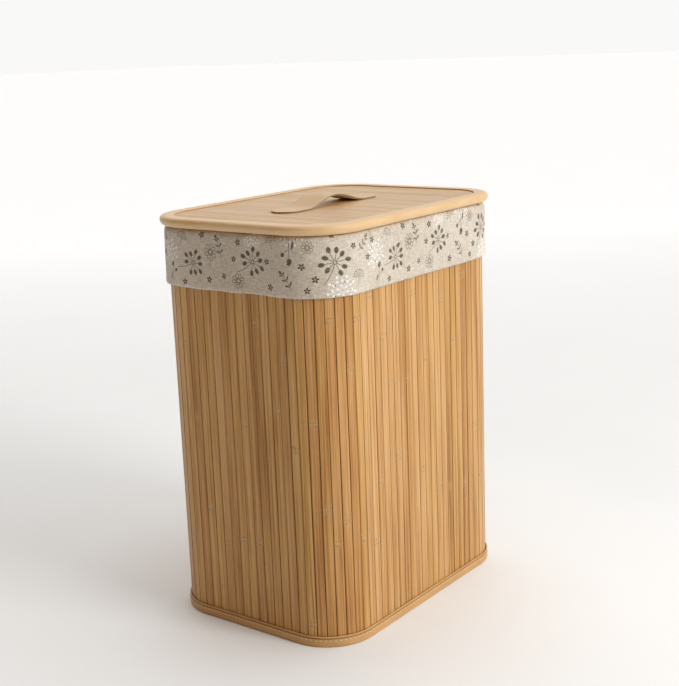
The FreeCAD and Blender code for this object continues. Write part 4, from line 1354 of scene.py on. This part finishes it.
class HamperSettings(bpy.types.PropertyGroup):
    """Sizes and colours of the hamper, and strength of the lights."""

    slat_gap: size_setting("Slat gap", "Mean gap between two slats of a flat wall", SLAT_GAP / MM)
    corner_gap: size_setting("Corner gap", "Mean gap between two slats of a rounded corner", 0.75)
    slat_bow: size_setting("Slat bow", "Usual sideways bow of a wall slat along its height", 0.10)
    rim_swell: size_setting("Rim swell", "How much fuller the lid's rim is in places", 0.25)
    stitch_pitch: size_setting("Stitch pitch", "Distance from one base stitch to the next", 6.5)
    stitch_length: size_setting("Stitch length", "Length of a base stitch along the binding", 3.8)
    cuff_wave: size_setting("Cuff wave", "Depth of the long waves at the cuff's hem", 0.9)
    cuff_crease: size_setting("Cuff crease", "Depth of the slanted creases of the cuff", 0.6)
    bag_fold: size_setting("Bag fold", "Depth of the bag's folds before it hangs", 3.0)
    floor_ruck: size_setting("Bag floor ruck", "Height of the rucks in the bag's floor", 3.2)
    bag_slack: strength_setting("Bag slack", "Share by which the bag is cut large", 0.03, subtype="FACTOR")
    slat_light: colour_setting("Lightest slat", "Colour of the palest wall slats", "DDB57B")
    slat_colour: colour_setting("Slat", "Usual colour of the wall slats", "C89856")
    slat_dark: colour_setting("Darkest slat", "Colour of the darkest wall slats", "9A6323")
    lid_light: colour_setting("Lightest lid slat", "Colour of the palest lid slats", "E4C79E")
    lid_colour: colour_setting("Lid slat", "Usual colour of the lid slats", "D1AF80")
    lid_dark: colour_setting("Darkest lid slat", "Colour of the darkest lid slats", "AE8A58")
    rim_colour: colour_setting("Lid rim", "Colour of the lid's rim binding", "D9B07A")
    rim_worn: colour_setting("Worn lid rim", "Paler colour in the rim's clouds", "E6C698")
    binding_colour: colour_setting("Edge binding", "Colour of the top and base bindings", "C79657")
    binding_worn: colour_setting("Worn edge binding", "Paler colour in the binding's clouds", "D8AC72")
    thread_colour: colour_setting("Thread", "Colour of the base stitches", "E0C79E")
    thread_worn: colour_setting("Worn thread", "Paler colour on the stitches", "EAD9B8")
    linen_colour: colour_setting("Linen", "Colour of the cuff's cloth", "E4DBCE")
    linen_shadow: colour_setting("Linen between threads", "Colour between the cuff's threads", "AA9A82")
    print_dark: colour_setting("Dark print", "Colour of the dark ink on the cuff", "4A3E24")
    print_white: colour_setting("White print", "Colour of the white ink on the cuff", "FFFFFF")
    bag_colour: colour_setting("Bag", "Colour of the plain bag", "E6DFD0")
    bag_shadow: colour_setting("Bag between threads", "Colour between the bag's threads", "C4BAA6")
    strap_colour: colour_setting("Strap", "Colour of the lid's strap", "D0AE82")
    strap_worn: colour_setting("Worn strap", "Paler colour in the strap's clouds", "DABD94")
    strap_lining: colour_setting("Strap underside", "Colour of the strap's lower layer", "E2D2B8")
    backing_colour: colour_setting("Backing cloth", "Colour of the cloth behind the slats", "54300F")
    surround_strength: strength_setting("Surround", "Strength of the pale surround", 0.95)
    dim_side: colour_setting("Dim side", "Colour of the surround on the shaded side", "62420F")
    key_power: strength_setting("Key light", "Power of the soft light in front", 36.0, unit="POWER")
    overhead_strength: strength_setting("Overhead light", "Strength of the wide light overhead", 0.72)


class HamperWallSlats(bpy.types.Operator):
    """Build the upright bamboo slats of the walls and corners"""

    bl_idname = "hamper.wall_slats"
    bl_label = "Wall slats"

    def execute(self, context):
        build_wall_slats(context.scene.hamper_settings)
        return {"FINISHED"}


class HamperBase(bpy.types.Operator):
    """Build the binding round the foot and its stitches"""

    bl_idname = "hamper.base"
    bl_label = "Base binding"

    def execute(self, context):
        build_base(context.scene.hamper_settings)
        return {"FINISHED"}


class HamperTopEdge(bpy.types.Operator):
    """Build the tape over the top of the wall"""

    bl_idname = "hamper.top_edge"
    bl_label = "Top binding"

    def execute(self, context):
        build_top_edge(context.scene.hamper_settings)
        return {"FINISHED"}


class HamperCuff(bpy.types.Operator):
    """Build the printed cuff of the liner"""

    bl_idname = "hamper.cuff"
    bl_label = "Printed cuff"

    def execute(self, context):
        build_cuff(context.scene.hamper_settings)
        return {"FINISHED"}


class HamperBag(bpy.types.Operator):
    """Build the plain bag of the liner"""

    bl_idname = "hamper.bag"
    bl_label = "Bag"

    def execute(self, context):
        build_bag(context.scene.hamper_settings)
        return {"FINISHED"}


class HamperLidRim(bpy.types.Operator):
    """Build the rounded rim of the lid"""

    bl_idname = "hamper.lid_rim"
    bl_label = "Lid rim"

    def execute(self, context):
        build_lid_rim(context.scene.hamper_settings)
        return {"FINISHED"}


class HamperLidSlats(bpy.types.Operator):
    """Build the bamboo slats of the lid"""

    bl_idname = "hamper.lid_slats"
    bl_label = "Lid slats"

    def execute(self, context):
        build_lid_slats(context.scene.hamper_settings)
        return {"FINISHED"}


class HamperStrap(bpy.types.Operator):
    """Build the two layers of the lid's strap"""

    bl_idname = "hamper.strap"
    bl_label = "Strap"

    def execute(self, context):
        build_strap(context.scene.hamper_settings)
        return {"FINISHED"}


class HamperHiddenParts(bpy.types.Operator):
    """Give finishes to the boards, cloths, wires and fixings"""

    bl_idname = "hamper.hidden_parts"
    bl_label = "Boards, wires and fixings"

    def execute(self, context):
        build_hidden_parts(context.scene.hamper_settings)
        return {"FINISHED"}


class HamperStage(bpy.types.Operator):
    """Set up the floor, lights and camera"""

    bl_idname = "hamper.stage"
    bl_label = "Stage"

    def execute(self, context):
        build_stage(context.scene.hamper_settings)
        return {"FINISHED"}


OPERATORS = (
    HamperWallSlats,
    HamperBase,
    HamperTopEdge,
    HamperBag,
    HamperCuff,
    HamperLidSlats,
    HamperLidRim,
    HamperStrap,
    HamperHiddenParts,
    HamperStage,
)


class HamperPanel(bpy.types.Panel):
    """The hamper's sizes, colours and build steps"""

    bl_idname = "VIEW3D_PT_hamper"
    bl_label = "Bamboo Laundry Hamper"
    bl_space_type = "VIEW_3D"
    bl_region_type = "UI"
    bl_category = "Hamper"

    def draw(self, context):
        """Lists every setting and every step."""
        column = self.layout.column()
        for name in HamperSettings.__annotations__:
            column.prop(context.scene.hamper_settings, name)
        for operator in OPERATORS:
            column.operator(operator.bl_idname)


def register():
    """Adds the settings, the operators and the panel."""
    for kind in (HamperSettings, *OPERATORS, HamperPanel):
        bpy.utils.register_class(kind)
    bpy.types.Scene.hamper_settings = PointerProperty(type=HamperSettings)


def unregister():
    """Takes them away again."""
    del bpy.types.Scene.hamper_settings
    for kind in (HamperPanel, *reversed(OPERATORS), HamperSettings):
        bpy.utils.unregister_class(kind)


def main():
    """Builds the whole hamper."""
    register()
    for operator in OPERATORS:
        family, step = operator.bl_idname.split(".")
        getattr(getattr(bpy.ops, family), step)()


if __name__ == "__main__":
    main()
